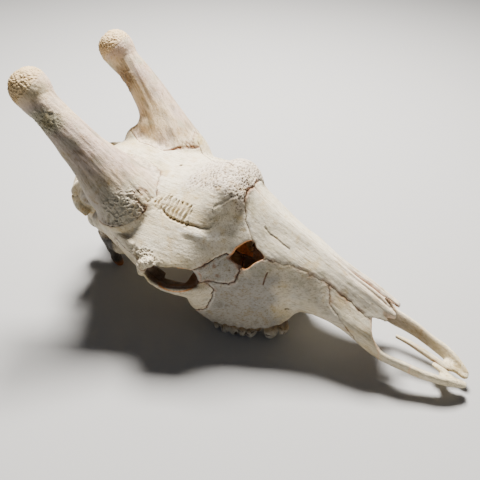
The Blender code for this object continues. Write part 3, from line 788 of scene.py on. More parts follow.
def add_node(tree, kind, links=None, **settings):
    """One node with its settings, and its inputs set to values or joined to other nodes' outputs."""
    node = tree.nodes.new(kind)
    for name, value in settings.items():
        setattr(node, name, value)
    for name, value in (links or {}).items():
        socket = node.inputs[name]
        if isinstance(value, bpy.types.NodeSocket):
            tree.links.new(value, socket)
        else:
            socket.default_value = value
    return node


# the object's own coordinates are metres, so this over a size in mm gives features of that size
MM = 1000.0
CLOUDS = 16.0              # size of the clouds in the bone's colour, mm
SPECKS = 2.4               # size of its specks, mm
BUMP_DEPTH = 0.0008        # what the finest relief is worth, m


def dry_bone(name, streaks, pore, roughness, relief):
    """Cleaned and sun-dried bone: matt, close-grained, with fine lengthwise streaks and open pores. The
    streaks and pores have sizes in mm; the roughness and the strength of the fine relief go from 0 to 1."""
    material = bpy.data.materials.new(name)
    material.use_nodes = True
    tree = material.node_tree
    paint = add_node(tree, "ShaderNodeAttribute", attribute_name="paint").outputs["Color"]
    grain = add_node(tree, "ShaderNodeAttribute", attribute_name="grain").outputs["Vector"]
    soil = add_node(tree, "ShaderNodeAttribute", attribute_name="soil").outputs["Fac"]
    pits = add_node(tree, "ShaderNodeAttribute", attribute_name="pits").outputs["Fac"]
    spot = add_node(tree, "ShaderNodeTexCoord").outputs["Object"]
    cloud = add_node(tree, "ShaderNodeTexNoise", {
        "Vector": spot, "Scale": MM / CLOUDS, "Detail": 5.0, "Roughness": 0.62}).outputs["Fac"]
    speck = add_node(tree, "ShaderNodeTexNoise", {
        "Vector": spot, "Scale": MM / SPECKS, "Detail": 4.0, "Roughness": 0.7}).outputs["Fac"]
    line = add_node(tree, "ShaderNodeTexNoise", {
        "Vector": grain, "Scale": 1.0 / streaks, "Detail": 5.0, "Roughness": 0.68}).outputs["Fac"]
    holes = add_node(tree, "ShaderNodeTexVoronoi", {"Vector": spot, "Scale": MM / pore}).outputs["Distance"]

    # pores stand open where the bone is pitted, and soil sits in crumbs
    open_pore = add_node(tree, "ShaderNodeMapRange", {
        "Value": holes, "From Min": 0.30, "From Max": 0.12}, interpolation_type="SMOOTHSTEP")
    pitted = add_node(tree, "ShaderNodeMapRange", {
        "Value": pits, "To Min": 0.18}, interpolation_type="SMOOTHSTEP")
    width = add_node(tree, "ShaderNodeMath", {
        0: open_pore.outputs["Result"], 1: pitted.outputs["Result"]}, operation="MULTIPLY").outputs[0]
    crumbs = add_node(tree, "ShaderNodeMapRange", {
        "Value": speck, "From Min": 0.25, "From Max": 0.55, "To Min": 0.35}, interpolation_type="SMOOTHSTEP")
    grime = add_node(tree, "ShaderNodeMath", {
        0: soil, 1: crumbs.outputs["Result"]}, operation="MULTIPLY").outputs[0]

    # each tint: its pattern, where in that it starts and is full, its strength, colour and way of mixing
    colour = paint
    for pattern, low, high, strength, code, how in (
        (cloud, 0.50, 0.72, 0.70, "#e2d3ad", "MULTIPLY"),
        (cloud, 0.48, 0.30, 0.70, "#d2d2c6", "MULTIPLY"),
        (line, 0.52, 0.34, 0.75, "#b9a98c", "MULTIPLY"),
        (speck, 0.60, 0.78, 0.55, "#9a7a4e", "MULTIPLY"),
        (width, 0.00, 1.00, 0.80, "#5b432c", "MIX"),
        (grime, 0.12, 0.85, 0.90, SOIL, "MIX"),
    ):
        amount = add_node(tree, "ShaderNodeMapRange", {
            "Value": pattern, "From Min": low, "From Max": high, "To Max": strength},
            interpolation_type="SMOOTHSTEP").outputs["Result"]
        colour = add_node(tree, "ShaderNodeMix", {
            0: amount, 6: colour, 7: (*linear(code), 1.0)}, data_type="RGBA", blend_type=how).outputs[2]

    rough = add_node(tree, "ShaderNodeMapRange", {
        "Value": speck, "From Min": 0.3, "From Max": 0.7,
        "To Min": roughness - 0.08, "To Max": roughness + 0.1}, interpolation_type="SMOOTHSTEP")
    height = add_node(tree, "ShaderNodeMath", {0: line, 1: 0.55, 2: speck}, operation="MULTIPLY_ADD")
    height = add_node(tree, "ShaderNodeMath", {
        0: width, 1: -0.9, 2: height.outputs[0]}, operation="MULTIPLY_ADD")
    bump = add_node(tree, "ShaderNodeBump", {
        "Height": height.outputs[0], "Strength": relief, "Distance": BUMP_DEPTH})
    shader = tree.nodes["Principled BSDF"]
    tree.links.new(colour, shader.inputs["Base Color"])
    tree.links.new(bump.outputs["Normal"], shader.inputs["Normal"])
    tree.links.new(rough.outputs["Result"], shader.inputs["Roughness"])
    # bone mineral and collagen together, a little under enamel's 1.6
    shader.inputs["IOR"].default_value = 1.53
    shader.inputs["Specular IOR Level"].default_value = 0.35
    return material


# horn bone: harder and yellower than the vault, grown in layers over the core, with a dull waxy look
horn_bone = dry_bone("horn_core_bone", streaks=1.5, pore=2.2, roughness=0.62, relief=0.9)

# a turn off every axis, so that no row of the noise lies along one
ASKEW = np.array([(0.612, -0.354, 0.707), (0.751, 0.500, -0.433), (-0.200, 0.796, 0.573)])


def horn_places(p):
    """The core's points as they lie on the left, how far up from the knob's middle each is, and where the
    beaded knob, the rough patch, the ridged foot and the crack along the foot are."""
    q = on_left(p)
    x, y, z = q.T
    left = side_of(p) > 0.0
    along = (q - HORN_KNOB) @ HORN_UP
    behind = (q - HORN_KNOB) @ np.array((-0.80, -0.45 if left else 0.35, 0.40))
    knob = fade(along + 0.7 * behind + 3.0 * mottle(p, 8.0, 14), -10.0, 1.0)
    rough = near(q, (47, 64, 291), (26, 16, 26)) if left else near(q, (54, 97, 300), (34, 18, 20))
    foot = fade(x + 0.55 * y, 172.0, 196.0) * fade(z, 228.0, 208.0)
    foot *= fade(y, 62.0, 78.0)
    crack, _ = off_line(p * PLAN, BASE_CRACK)
    return q, along, knob, rough, foot, crack


def vessel_lines(q, along, stretch, size, seed):
    """Noise drawn out up the core, by the share of a point's height that still counts."""
    across = q - np.outer(q @ HORN_UP, HORN_UP)
    return mottle(across + stretch * np.outer(along, HORN_UP), size, seed)


def horn_relief(p, normal):
    """Beads on the knob, lines up the shaft, pocks in the rough patch and worm-like ridges on the foot."""
    q, along, knob, rough, foot, crack = horn_places(p)
    beads = np.clip(1.0 - (grains(p, BEADS, 3) / 0.62) ** 2, 0.0, 1.0)
    lines = vessel_lines(q, along, 0.07, VESSELS, 11)
    deep = np.minimum(vessel_lines(q, along, 0.05, 2.0 * VESSELS, 12), 0.05)
    stirred = p @ ASKEW + 1.6 * np.column_stack([mottle(p @ ASKEW, 5.0, axis) for axis in (33, 34, 35)])
    worms = 1.0 - 3.0 * np.abs(mottle(stirred, 4.6, 31) + 0.35 * mottle(stirred, 2.4, 32))
    pocks = np.clip(0.5 - grains(stirred, 3.8, 22), 0.0, 1.0)
    shaft = fade(along, -14.0, -30.0)
    push = knob * (1.05 * beads - 0.3)
    push += (0.45 * lines + 1.1 * deep) * shaft * (1.0 - 0.8 * foot) * (1.0 - rough)
    push += 0.35 * mottle(p, 2.8, 15) * (1.0 - shaft) * (1.0 - knob)
    push += rough * (mottle(stirred, 3.6, 21) - 1.8 * pocks)
    push += foot * (1.05 * np.clip(worms, -0.6, 1.0) - 0.2 - 0.9 * pocks)
    push += 0.5 * mottle(p, 14.0, 13)
    push -= 1.2 * fade(crack + 0.5 * mottle(p, 3.0, 17), 2.2, 0.4) * fade(p[:, 2], 205.0, 210.0)
    return push, np.maximum(rough, 0.5 * foot)


def horn_paint(p, normal, inner):
    """Cream clouded with pink and green, paler at the foot, and grey in shade. Only the left core has the
    brown patch behind its neck."""
    q, along, knob, rough, foot, crack = horn_places(p)
    colour = np.tile(linear(HORN_CREAM), (len(p), 1))
    colour = blended(colour, HORN_PINK, fade(mottle(p, 26.0, 41) + 0.5 * normal[:, 0], -0.4, 0.8))
    colour = blended(colour, HORN_GREEN, 0.6 * fade(mottle(p, 18.0, 42), 0.15, 0.75))
    colour = blended(colour, BONE_WHITE, 0.6 * fade(q[:, 2], 238.0, 205.0))
    colour = blended(colour, "#ddbf8c", 0.8 * knob)
    # painted shade: the shaft's outward, downward faces are greyed
    outer = fade(side_of(p) * normal[:, 1] - 0.4 * normal[:, 2], 0.1, 0.9)
    colour = blended(colour, "#9d968c", 0.6 * outer * fade(along, -8.0, -24.0))
    scored = fade(vessel_lines(q, along, 0.07, VESSELS, 11), 0.0, -0.6) * fade(along, -14.0, -30.0)
    colour = blended(colour, "#857a6c", 0.5 * scored)
    colour = blended(colour, HORN_BROWN if side_of(p) > 0.0 else HORN_GREEN, 0.85 * rough)
    colour = blended(colour, "#b9b4a0", 0.6 * foot)
    return blended(colour, RUST, 0.8 * fade(crack, 2.4, 0.8) * fade(p[:, 2], 205.0, 210.0))


skull = slotted(skull)
hollow_points = finder(places(hollow))

# the skull rests on its rear molars and ear processes with its snout up, and its box is centred on the floor
SNOUT_LIFT = math.radians(4.9495)
REST = (Matrix.Scale(0.001, 4) @ Matrix.Translation((-282.456, -0.107, -23.534))
        @ Matrix.Rotation(-SNOUT_LIFT, 4, "Y"))

for side_name, side in SIDES.items():
    way = mirrored([HORN_WAY], side)[0]
    loop = mirrored(HORN_FEET[side_name], side)
    bone, skull = freed(skull, loop, way, 0.0, 260.0, teeth=1.3, gap=0.3)
    _, _, knob, rough, foot, _ = horn_places(places(bone))
    bone = dressed(finer(bone, knob + rough + foot > 0.05), horn_relief, horn_paint, way)
    laid("horn_core_" + side_name, bone, horn_bone, "horn_bone", "ossicone_" + side_name)

# Nasal bones
# Two long thin plates roof the nose and end in free points with a notch between them. They are the smoothest
# bones of the face, streaked lengthwise, and cracked along the middle of the near one.
# The loop is given in plan, with the heights of a floor that lies inside the airway.
NASAL = [
    (286, 0.05, 150), (283, 12, 150), (284, 24, 150), (290, 35, 148), (297, 40, 144), (304, 44, 141),
    (321, 49.5, 132), (326, 47, 130), (352, 37, 116), (377, 32, 104), (402, 26.5, 91), (430, 26, 77),
    (459, 28, 60), (500, 22, 45), (500, 0.05, 45),
]
# the other lines in plan have z = 0
NASAL_CRACK = [(312, -26, 0), (320, -26.5, 0), (328, -25, 0), (336, -26, 0), (346, -26, 0)]
NASAL_CREASE = [(405, 6, 0), (440, 7, 0), (478, 9, 0)]
NASAL_GRAIN = (0.85, 0.0, -0.52)
NASAL_WHITE = "#e8dfca"
# nasal bone: the densest of the face, finely streaked and a little polished
nasal_bone = dry_bone("smooth_nasal_bone", streaks=1.2, pore=3.2, roughness=0.55, relief=0.55)


def plain_relief(p, grain):
    """The slow swell and the fine streaks that every flat bone has, in mm."""
    return 0.35 * mottle(p, 13.0, 51) + 0.16 * mottle(grain, 2.6, 52) + 0.12 * mottle(p, 2.9, 53)


def folded(p):
    """The points of a bone on the midline, with its right half laid over the left."""
    return np.column_stack([p[:, 0], np.abs(p[:, 1]), p[:, 2]])


BONE_CREAM = "#d6c69f"
BONE_GREY = "#bbb6a4"
# orange-brown for the walls of the hollows: partly stain, partly a painted glow of light shining through the
# thin bone
NOSE_STAIN_AND_GLOW = "#f0a458"
ORBIT_MIDDLE = np.array((222.0, 100.0, 122.0))
ORBIT_REACH = np.array((46.0, 36.0, 31.0))


def bone_paint(p, normal, inner):
    """Ivory that turns cream or grey in slow clouds, orange-brown inside the nose, partly stain and partly a
    painted glow of light through thin bone, and painted shade, dark brown, in the orbits.
    """
    colour = np.tile(linear(BONE_WHITE), (len(p), 1))
    colour = blended(colour, BONE_CREAM, fade(mottle(p, 34.0, 61) + 0.5 * mottle(p, 12.0, 62), -0.3, 0.8))
    colour = blended(colour, BONE_GREY, 0.8 * fade(mottle(p, 27.0, 63) + 0.5 * mottle(p, 8.0, 64), 0.1, 1.0))
    inwards = (ORBIT_MIDDLE - folded(p)) / ORBIT_REACH
    turned = normal.copy()
    turned[:, 1] *= np.sign(p[:, 1])
    facing = (inwards * turned).sum(axis=1)
    # painted shade: the walls of each orbit that face its middle are painted dark brown
    socket = fade(np.linalg.norm(inwards, axis=1), 1.12, 0.92) * fade(facing, 0.0, 0.35)
    # partly painted light: a bright orange-brown glow on the walls of the hollows
    colour = blended(colour, NOSE_STAIN_AND_GLOW, 0.9 * inner)
    return blended(colour, "#5e4333", 0.85 * socket)


def nasal_relief(p, normal):
    push = plain_relief(p, streaked(p, NASAL_GRAIN))
    outside = fade(normal[:, 2], 0.0, 0.4)
    gap, _ = off_line(p * PLAN, NASAL_CRACK)
    push -= 0.8 * outside * fade(gap + 0.4 * mottle(p, 2.5, 54), 1.3, 0.3)
    q = on_left(p)
    x, y, _ = q.T
    ahead = fade(x, 375.0, 450.0)
    push -= 2.6 * outside * ahead * fade(y, 4.5, 0.6)
    gap, _ = off_line(q * PLAN, NASAL_CREASE)
    push -= 1.1 * outside * ahead * fade(gap, 1.8, 0.3)
    push += 0.9 * outside * ahead * fade(np.abs(y - 12.0), 4.0, 0.5)
    return push, 0.2 * fade(mottle(p, 9.0, 55), 0.2, 0.8)


def nasal_paint(p, normal, inner):
    colour = bone_paint(p, normal, 0.8 * inner)
    colour = blended(colour, NASAL_WHITE, 0.6)
    gap, _ = off_line(p * PLAN, NASAL_CRACK)
    colour = blended(colour, SOIL, 0.5 * fade(gap, 1.0, 0.2))
    x, y, _ = on_left(p).T
    pink = fade(x, 370.0, 440.0) * fade(y, 16.0, 8.0)
    colour = blended(colour, "#d3c1b4", 0.5 * pink)
    return blended(colour, "#8f6a45", 0.6 * fade(x, 400.0, 440.0) * fade(y, 2.0, 0.6))


for side_name, side in SIDES.items():
    bone, skull = freed(skull, mirrored(NASAL, side), (0.0, 0.0, 1.0), 0.0, 160.0, teeth=1.1, gap=0.45)
    bone = dressed(bone, nasal_relief, nasal_paint, NASAL_GRAIN)
    laid("nasal_bone_" + side_name, bone, nasal_bone, "pale_bone", "nasal_" + side_name)

# Premaxillae
# The pair that carries the muzzle: each springs from the cheek as a thin strap and runs forward and down to
# a blunt porous tip. A slim palatal rod lies in the long opening between them.
# This loop and those of the other bones of the face are given in side view.
PREMAXILLARY = [
    (402, 0, 140), (402, 0, 111), (406, 0, 99), (409, 0, 88), (422, 0, 77), (434, 0, 63), (446, 0, 48),
    (448, 0, 36), (444, 0, -40), (620, 0, -40), (620, 0, 60), (500, 0, 140),
]
PREMAXILLARY_GRAIN = (0.88, 0.0, -0.47)
# face bone: thin cortical bone, chalky after years in the open, with finer pores than the nasals'
face_bone = dry_bone("dry_face_bone", streaks=1.4, pore=2.6, roughness=0.62, relief=0.8)


def premaxilla_relief(p, normal):
    push = 0.7 * plain_relief(p, streaked(p, PREMAXILLARY_GRAIN))
    tip = fade(p[:, 0], 540.0, 580.0)
    pocks = np.clip(0.45 - grains(p, 4.2, 56), 0.0, 1.0)
    return push - 1.4 * tip * pocks, 0.8 * tip


def premaxilla_paint(p, normal, inner):
    colour = bone_paint(p, normal, 0.3 * inner)
    stain = near(on_left(p), (428, 34, 98), (22, 14, 16))
    colour = blended(colour, "#d9bd84", 0.6 * stain)
    # partly painted shade, partly stain: the faces towards the midline are darker grey-brown
    colour = blended(colour, "#938471", 0.6 * fade(normal[:, 1] * side_of(p), -0.1, -0.6))
    return blended(colour, "#e9dcba", 0.6 * fade(p[:, 0], 520.0, 575.0))


for side_name, side in SIDES.items():
    bone, skull = freed(skull, PREMAXILLARY, (0.0, side, 0.0), 0.15, 160.0, teeth=0.8, gap=0.6)
    bone = dressed(bone, premaxilla_relief, premaxilla_paint, PREMAXILLARY_GRAIN)
    laid("premaxillary_strap_" + side_name, bone, face_bone, "bone", "premaxilla_" + side_name)

# Lacrimals
# A small plate between the eye and the gap beside the nose. It is greyer than its neighbours, partly in its
# own colour and partly as painted shade, and its seams are wide, ragged and full of rusty pits.
LACRIMAL = [
    (244, 0, 137), (254, 0, 138), (262, 0, 141), (270, 0, 145), (278, 0, 148), (291, 0, 138), (295, 0, 128),
    (294, 0, 118), (290, 0, 109), (283, 0, 106), (274, 0, 110), (264, 0, 113), (256, 0, 112), (244, 0, 112),
]


def lacrimal_relief(p, normal):
    push = plain_relief(p, p)
    pocks = np.clip(0.5 - grains(p, 4.0, 57), 0.0, 1.0)
    patch = fade(mottle(p, 11.0, 58), -0.1, 0.6)
    return push - 1.4 * patch * pocks, patch


def lacrimal_paint(p, normal, inner):
    # partly painted shade: the whole plate is blended towards grey
    colour = blended(bone_paint(p, normal, inner), "#a19f9b", 0.7)
    return blended(colour, RUST, 0.5 * fade(mottle(p, 7.0, 59), 0.45, 0.8))


for side_name, side in SIDES.items():
    bone, skull = freed(skull, LACRIMAL, (0.0, side, 0.0), 50.0, 160.0, teeth=1.6, gap=0.9)
    bone = dressed(bone, lacrimal_relief, lacrimal_paint, (0.8, 0.0, 0.6))
    laid("tear_bone_" + side_name, bone, face_bone, "bone", "lacrimal_" + side_name)

# Zygomatics
# The cheek bone makes the lower rim of the orbit and runs back as a slim arch to meet the skull before the
# ear. The chewing muscle has roughened its lower edge.
ZYGOMATIC = [
    (128, 0, 152), (165, 0, 146), (188, 0, 132), (222, 0, 118), (244, 0, 112), (256, 0, 112), (262, 0, 108),
    (266, 0, 97), (262, 0, 80), (252, 0, 60), (225, 0, 48), (150, 0, 78), (128, 0, 104),
]
ZYGOMATIC_GRAIN = (1.0, 0.0, 0.3)


def zygomatic_relief(p, normal):
    push = plain_relief(p, streaked(p, ZYGOMATIC_GRAIN))
    edge = fade(normal[:, 2], -0.1, -0.6) * fade(p[:, 0], 150.0, 200.0)
    rim = near(on_left(p), (182, 122, 138), (22, 16, 24))
    pocks = np.clip(0.45 - grains(p, 4.2, 60), 0.0, 1.0)
    return push + 0.8 * edge * mottle(p, 4.5, 65) - 1.5 * rim * pocks, np.maximum(0.5 * edge, rim)


for side_name, side in SIDES.items():
    bone, skull = freed(skull, ZYGOMATIC, (0.0, side, 0.0), 79.0, 160.0, teeth=1.2, gap=0.7)
    bone = dressed(bone, zygomatic_relief, bone_paint, ZYGOMATIC_GRAIN)
    laid("cheek_bone_" + side_name, bone, face_bone, "bone", "zygomatic_" + side_name)

# Palate, vomer and throat wings
# Thin plates behind the palate that wall the way from nose to throat, with the vomer, an upright blade, on
# the midline between them. They have grown together into one bone.
PALATINE = [(140, 0, 15), (140, 0, 78), (180, 0, 88), (222, 0, 92), (262, 0, 92), (262, 0, 15)]
PLATE_GRAIN = (1.0, 0.0, 0.4)


def plate_relief(p, normal):
    return 0.6 * plain_relief(p, streaked(p, PLATE_GRAIN)), 0.3 * fade(mottle(p, 8.0, 66), 0.1, 0.7)


bone, skull = freed(skull, PALATINE, (0.0, 1.0, 0.0), -38.0, 38.0, teeth=1.0, gap=0.7)
bone = dressed(bone, plate_relief, bone_paint, PLATE_GRAIN)
laid("throat_plates", bone, face_bone, "bone", "palatine_vomer")

# Maxillae
# The cheek walls and most of the palate. Each is a tall smooth plate, a little swollen over the roots of the
# teeth, with the opening of the face nerve low in front and a hair crack running up from the row.
MAXILLARY = [
    (222, 0, 112), (244, 0, 112), (250, 0, 118), (270, 0, 125), (285, 0, 122), (297, 0, 128), (322, 0, 143),
    (322, 0, 190), (470, 0, 150), (470, 0, -40), (205, 0, -40), (214, 0, 45), (222, 0, 62),
]
MAXILLARY_GRAIN = (1.0, 0.0, 0.1)
# factors that lay points flat, as seen from the side
SIDE_VIEW = np.array((1.0, 0.0, 1.0))
FACE_CRACK = [(328, 0, 123), (326, 0, 115), (325, 0, 107)]
NERVE_OPENING = (352, 43, 62)
# cheek teeth from the back: middle x, length, tip z, lobes, width across
TEETH = [
    (254, 12, 2.5, 1, 20),
    (273, 25, -0.5, 2, 22),
    (297, 22, -1.0, 2, 21),
    (313, 9, 12.0, 1, 16),
    (328, 18, -1.5, 1, 17),
    (344, 14, 6.0, 1, 14),
]
# the middle of the left row: x, y
TOOTH_ROW = [(240, 65), (273, 62), (297, 57), (313, 52), (328, 46), (344, 38), (360, 30)]


def tooth_lobes():
    """For each lobe of the left row its x and y, its length, its width, the tooth's tip z and its lobes."""
    for middle, length, tip, lobes, wide in TEETH:
        for k in range(lobes):
            reach = length / lobes
            x = middle + (k - (lobes - 1) / 2.0) * reach
            yield x, through(TOOTH_ROW, x)[0][0], reach, wide, tip, lobes


def maxilla_relief(p, normal):
    q = on_left(p)
    push = plain_relief(p, streaked(p, MAXILLARY_GRAIN))
    for x, y, reach, wide, _, _ in tooth_lobes():
        push += 1.5 * near(q, (x, y + wide / 2.0 + 4, 32), (0.5 * reach, 9, 18))
    edge = fade(q[:, 2], 30.0, 21.0)
    push += edge * (0.6 * mottle(p, 4.0, 67) - 1.2 * np.clip(0.45 - grains(p, 4.4, 68), 0.0, 1.0))
    gap, _ = off_line(q * SIDE_VIEW, FACE_CRACK)
    push -= 1.2 * fade(gap + 0.4 * mottle(p, 2.5, 69), 1.3, 0.2)
    push -= 5.0 * near(q, NERVE_OPENING, (7, 8, 4.5))
    return push, np.maximum(0.6 * edge, 0.3 * fade(mottle(p, 14.0, 70), 0.2, 0.8))


def maxilla_paint(p, normal, inner):
    colour = bone_paint(p, normal, inner)
    ahead = p[:, 0] + 8.0 * mottle(p, 16.0, 86)
    # mostly painted shade: the cheek behind and below is greyed; painted light: the face ahead of it is made
    # paler cream
    colour = blended(colour, "#9c9995", 0.75 * (fade(ahead, 350.0, 330.0) * fade(p[:, 2], 128.0, 112.0)))
    colour = blended(colour, "#efe6d2", 0.5 * fade(ahead, 350.0, 368.0))
    gap, _ = off_line(p * SIDE_VIEW, FACE_CRACK)
    return blended(colour, RUST, 0.7 * fade(gap, 1.6, 0.4))


for side_name, side in SIDES.items():
    bone, skull = freed(skull, MAXILLARY, (0.0, side, 0.0), 0.15, 160.0, teeth=1.0, gap=0.7)
    bone = dressed(bone, maxilla_relief, maxilla_paint, MAXILLARY_GRAIN)
    laid("cheek_wall_" + side_name, bone, face_bone, "bone", "maxilla_" + side_name)

# Cheek teeth
# Low-crowned teeth in half-moon lobes, enamel round softer dentine, stained brown where the gum was. They
# sit in sockets along the lower edge of each maxilla, and the rear ones help to carry the skull.
TOOTH_GRID = 0.7           # grid of the teeth's skin, mm
UPRIGHT = (0.0, 0.0, 1.0)
# tooth enamel: dense and close to glossy, but yellowed, with faint upright lines
enamel = dry_bone("tooth_enamel", streaks=1.1, pore=3.0, roughness=0.35, relief=0.4)


def tooth_row(side):
    """The teeth of one side as one mesh: a lobe tapers from its neck and leans out to a sharp outer edge."""
    lobe_forms = []
    for x, y, reach, wide, tip, lobes in tooth_lobes():
        way = Vector((1.0, through(TOOTH_ROW, x + 1.0)[0][0] - y, 0.0)).normalized()
        out = Vector((-way.y, way.x, 0.0))
        overlap = 0.53 if lobes == 1 else 0.70
        rings = []
        for z, grow, lean in (
            (36, 0.80, -2.0), (26, 0.92, -1.0), (20, 1.00, 0.0), (15, 1.08, 0.4), (10, 1.12, 0.8),
            (tip + 6, 1.10, 1.0), (tip + 3, 1.04, 1.8), (tip + 1.2, 0.92, 3.2), (tip, 0.62, 4.8),
        ):
            ring = []
            for k in range(ROD_POINTS):
                turn = 2.0 * math.pi * k / ROD_POINTS
                c = math.cos(turn)
                s = math.sin(turn)
                ridge = 1.0 + 0.10 * math.cos(3.0 * turn) * fade(np.array([z]), 30.0, 12.0)[0]
                p = Vector((x, y, z)) + way * c * grow * ridge * reach * overlap
                p = p + out * (s * grow * wide / 2.0 + lean - 0.05 * wide * c * c)
                ring.append((p.x, p.y * side, p.z))
            rings.append(ring)
        lobe_forms.append(loft(rings))
    return fused(lobe_forms, TOOTH_GRID, passes=3)


def enamel_relief(p, normal):
    return 0.10 * mottle(streaked(p, UPRIGHT), 1.8, 81) + 0.10 * mottle(p, 4.0, 82), np.zeros(len(p))


def enamel_paint(p, normal, inner):
    colour = np.tile(linear("#ded8c8"), (len(p), 1))
    colour = blended(colour, "#8e7752", fade(p[:, 2] + 3.0 * mottle(p, 5.0, 83), 4.0, 17.0))
    colour = blended(colour, "#57422c", 0.9 * fade(mottle(p, 5.0, 84) + 0.5 * mottle(p, 2.2, 85), 0.15, 0.7))
    return blended(colour, "#4a3826", 0.7 * fade(p[:, 2], 19.0, 23.0))


for side_name, side in SIDES.items():
    teeth = dressed(tooth_row(side), enamel_relief, enamel_paint, UPRIGHT)
    laid("cheek_teeth_" + side_name, teeth, enamel, "bone")

# Frontal
# The brow: one broad plate from the nasals back between the horns, with the orbit roofs and, in the middle,
# the knob that becomes a third horn in old bulls. Its top is pocked like pumice and a vessel groove runs
# forward over each eye between rows of short ridges.
FRONTAL = [
    (100, 0, 280), (100, 0, 172), (128, 0, 152), (165, 0, 146), (188, 0, 132), (222, 0, 112), (244, 0, 112),
    (262, 0, 112), (288, 0, 115), (297, 0, 128), (322, 0, 143), (340, 0, 280),
]
FRONTAL_GRAIN = (1.0, 0.0, -0.1)
# in plan: the vessel groove, the ridge outside it, its branches on the knob, the two lines between which the
# comb of short ridges lies, and a crack on the right
BROW_GROOVE = [
    (183, 67, 0), (194, 74, 0), (204, 77, 0), (218, 77.5, 0), (232, 76, 0), (245, 72.5, 0), (255, 68, 0),
    (263, 62, 0), (271, 56, 0), (279, 51, 0), (292, 45, 0),
]
BROW_RIDGE = [(221, 84, 0), (233, 82.5, 0), (245, 79, 0), (255, 74.5, 0), (264, 68, 0), (272, 61, 0)]
BROW_BRANCHES = (
    [(249, 38, 0), (252, 46, 0), (256, 55, 0), (258, 62, 0)],
    [(256, 55, 0), (265, 45, 0), (273, 37, 0), (281, 28, 0)],
)
COMB = [
    [(178, 60, 0), (185, 68, 0), (200, 74, 0), (214, 75.5, 0), (232, 74, 0)],
    [(181, 56, 0), (190, 56, 0), (207, 59, 0), (226, 62, 0), (238, 67, 0)],
]
COMB_STEP = 6.2            # from one ridge of the comb to the next, mm
FAR_CRACK = [(161, 66, 0), (185, 49, 0), (212, 28, 0), (236, 12, 0), (256, 0, 0)]
BROW_HOLE = (173, 1, 215)


def brow_places(p, normal):
    """Where the brow's top, its pitted knob, the comb of ridges and the rough orbit rim are, on points with
    the right half laid over the left."""
    q = folded(p)
    x, y, z = q.T
    top = fade(normal[:, 2], 0.0, 0.35) * fade(z, 150.0, 165.0)
    knob = fade(x + 4.0 * mottle(p, 9.0, 89), 186.0, 212.0) * fade(x, 296.0, 282.0)
    knob *= fade(y + 4.0 * mottle(p, 9.0, 90), 48.0, 32.0) * fade(z, 186.0, 200.0)
    below, along = off_line(q * PLAN, COMB[0])
    above, _ = off_line(q * PLAN, COMB[1])
    comb = top * fade(below + above, 24.0, 18.0) * fade(along, 0.0, 0.06) * fade(along, 1.0, 0.94)
    rim = near(q, (188, 121, 148), (34, 20, 22))
    return q, top, knob, comb, rim


def frontal_relief(p, normal):
    q, top, knob, comb, rim = brow_places(p, normal)
    askew = p @ ASKEW
    push = plain_relief(p, streaked(p, FRONTAL_GRAIN))
    pocks = np.clip(0.52 - grains(askew, 4.2, 91), 0.0, 1.0)
    small = np.clip(0.5 - grains(askew, 2.5, 92), 0.0, 1.0)
    push += knob * (0.6 * mottle(p, 6.5, 93) - 2.2 * pocks - 1.7 * small)
    waves = np.cos(2.0 * math.pi * ((q[:, 0] + 0.12 * q[:, 1]) / COMB_STEP + 0.25 * mottle(p, 7.0, 95)))
    push += comb * (1.4 * waves + 0.4 * mottle(p, 4.0, 99) - 0.3)
    gap, run = off_line(q * PLAN, BROW_GROOVE)
    deep = top * fade(gap + 0.5 * mottle(p, 4.0, 88), 2.4, 0.4)
    push -= 2.0 * deep * fade(run, 0.0, 0.10) * fade(run, 0.70, 0.6)
    push -= 1.8 * top * fade(gap, 8.0, 1.0) * fade(run, 0.55, 0.75) * fade(run, 1.0, 0.8)
    gap, run = off_line(q * PLAN, BROW_RIDGE)
    push += 1.7 * top * fade(gap, 5.5, 0.5) * fade(run, 0.0, 0.25) * fade(run, 1.0, 0.6)
    for branch in BROW_BRANCHES:
        gap, run = off_line(q * PLAN, branch)
        push -= 0.7 * top * fade(gap + 0.5 * mottle(p, 3.0, 94), 1.4, 0.3) * fade(run, 1.0, 0.85)
    gap, _ = off_line(p * PLAN, BASE_CRACK)
    push -= 1.0 * top * fade(gap + 0.5 * mottle(p, 3.0, 17), 2.2, 0.4)
    gap, _ = off_line(p * PLAN, FAR_CRACK)
    push -= 1.0 * top * fade(gap + 0.3 * mottle(p, 4.0, 87), 1.6, 0.3)
    foot = near(q, (166, 74, 202), (28, 40, 30))
    push += foot * (0.5 * mottle(askew, 3.6, 96) - 0.8 * small)
    pits = np.clip(0.64 - grains(askew, 3.2, 98), 0.0, 1.0)
    push += rim * (0.9 * mottle(askew, 4.0, 97) + 0.4 - 3.0 * pits)
    push -= 3.5 * near(p, BROW_HOLE, (3.2, 3.2, 6.0))
    return push, np.maximum(np.maximum(knob, rim), 0.4 * top)


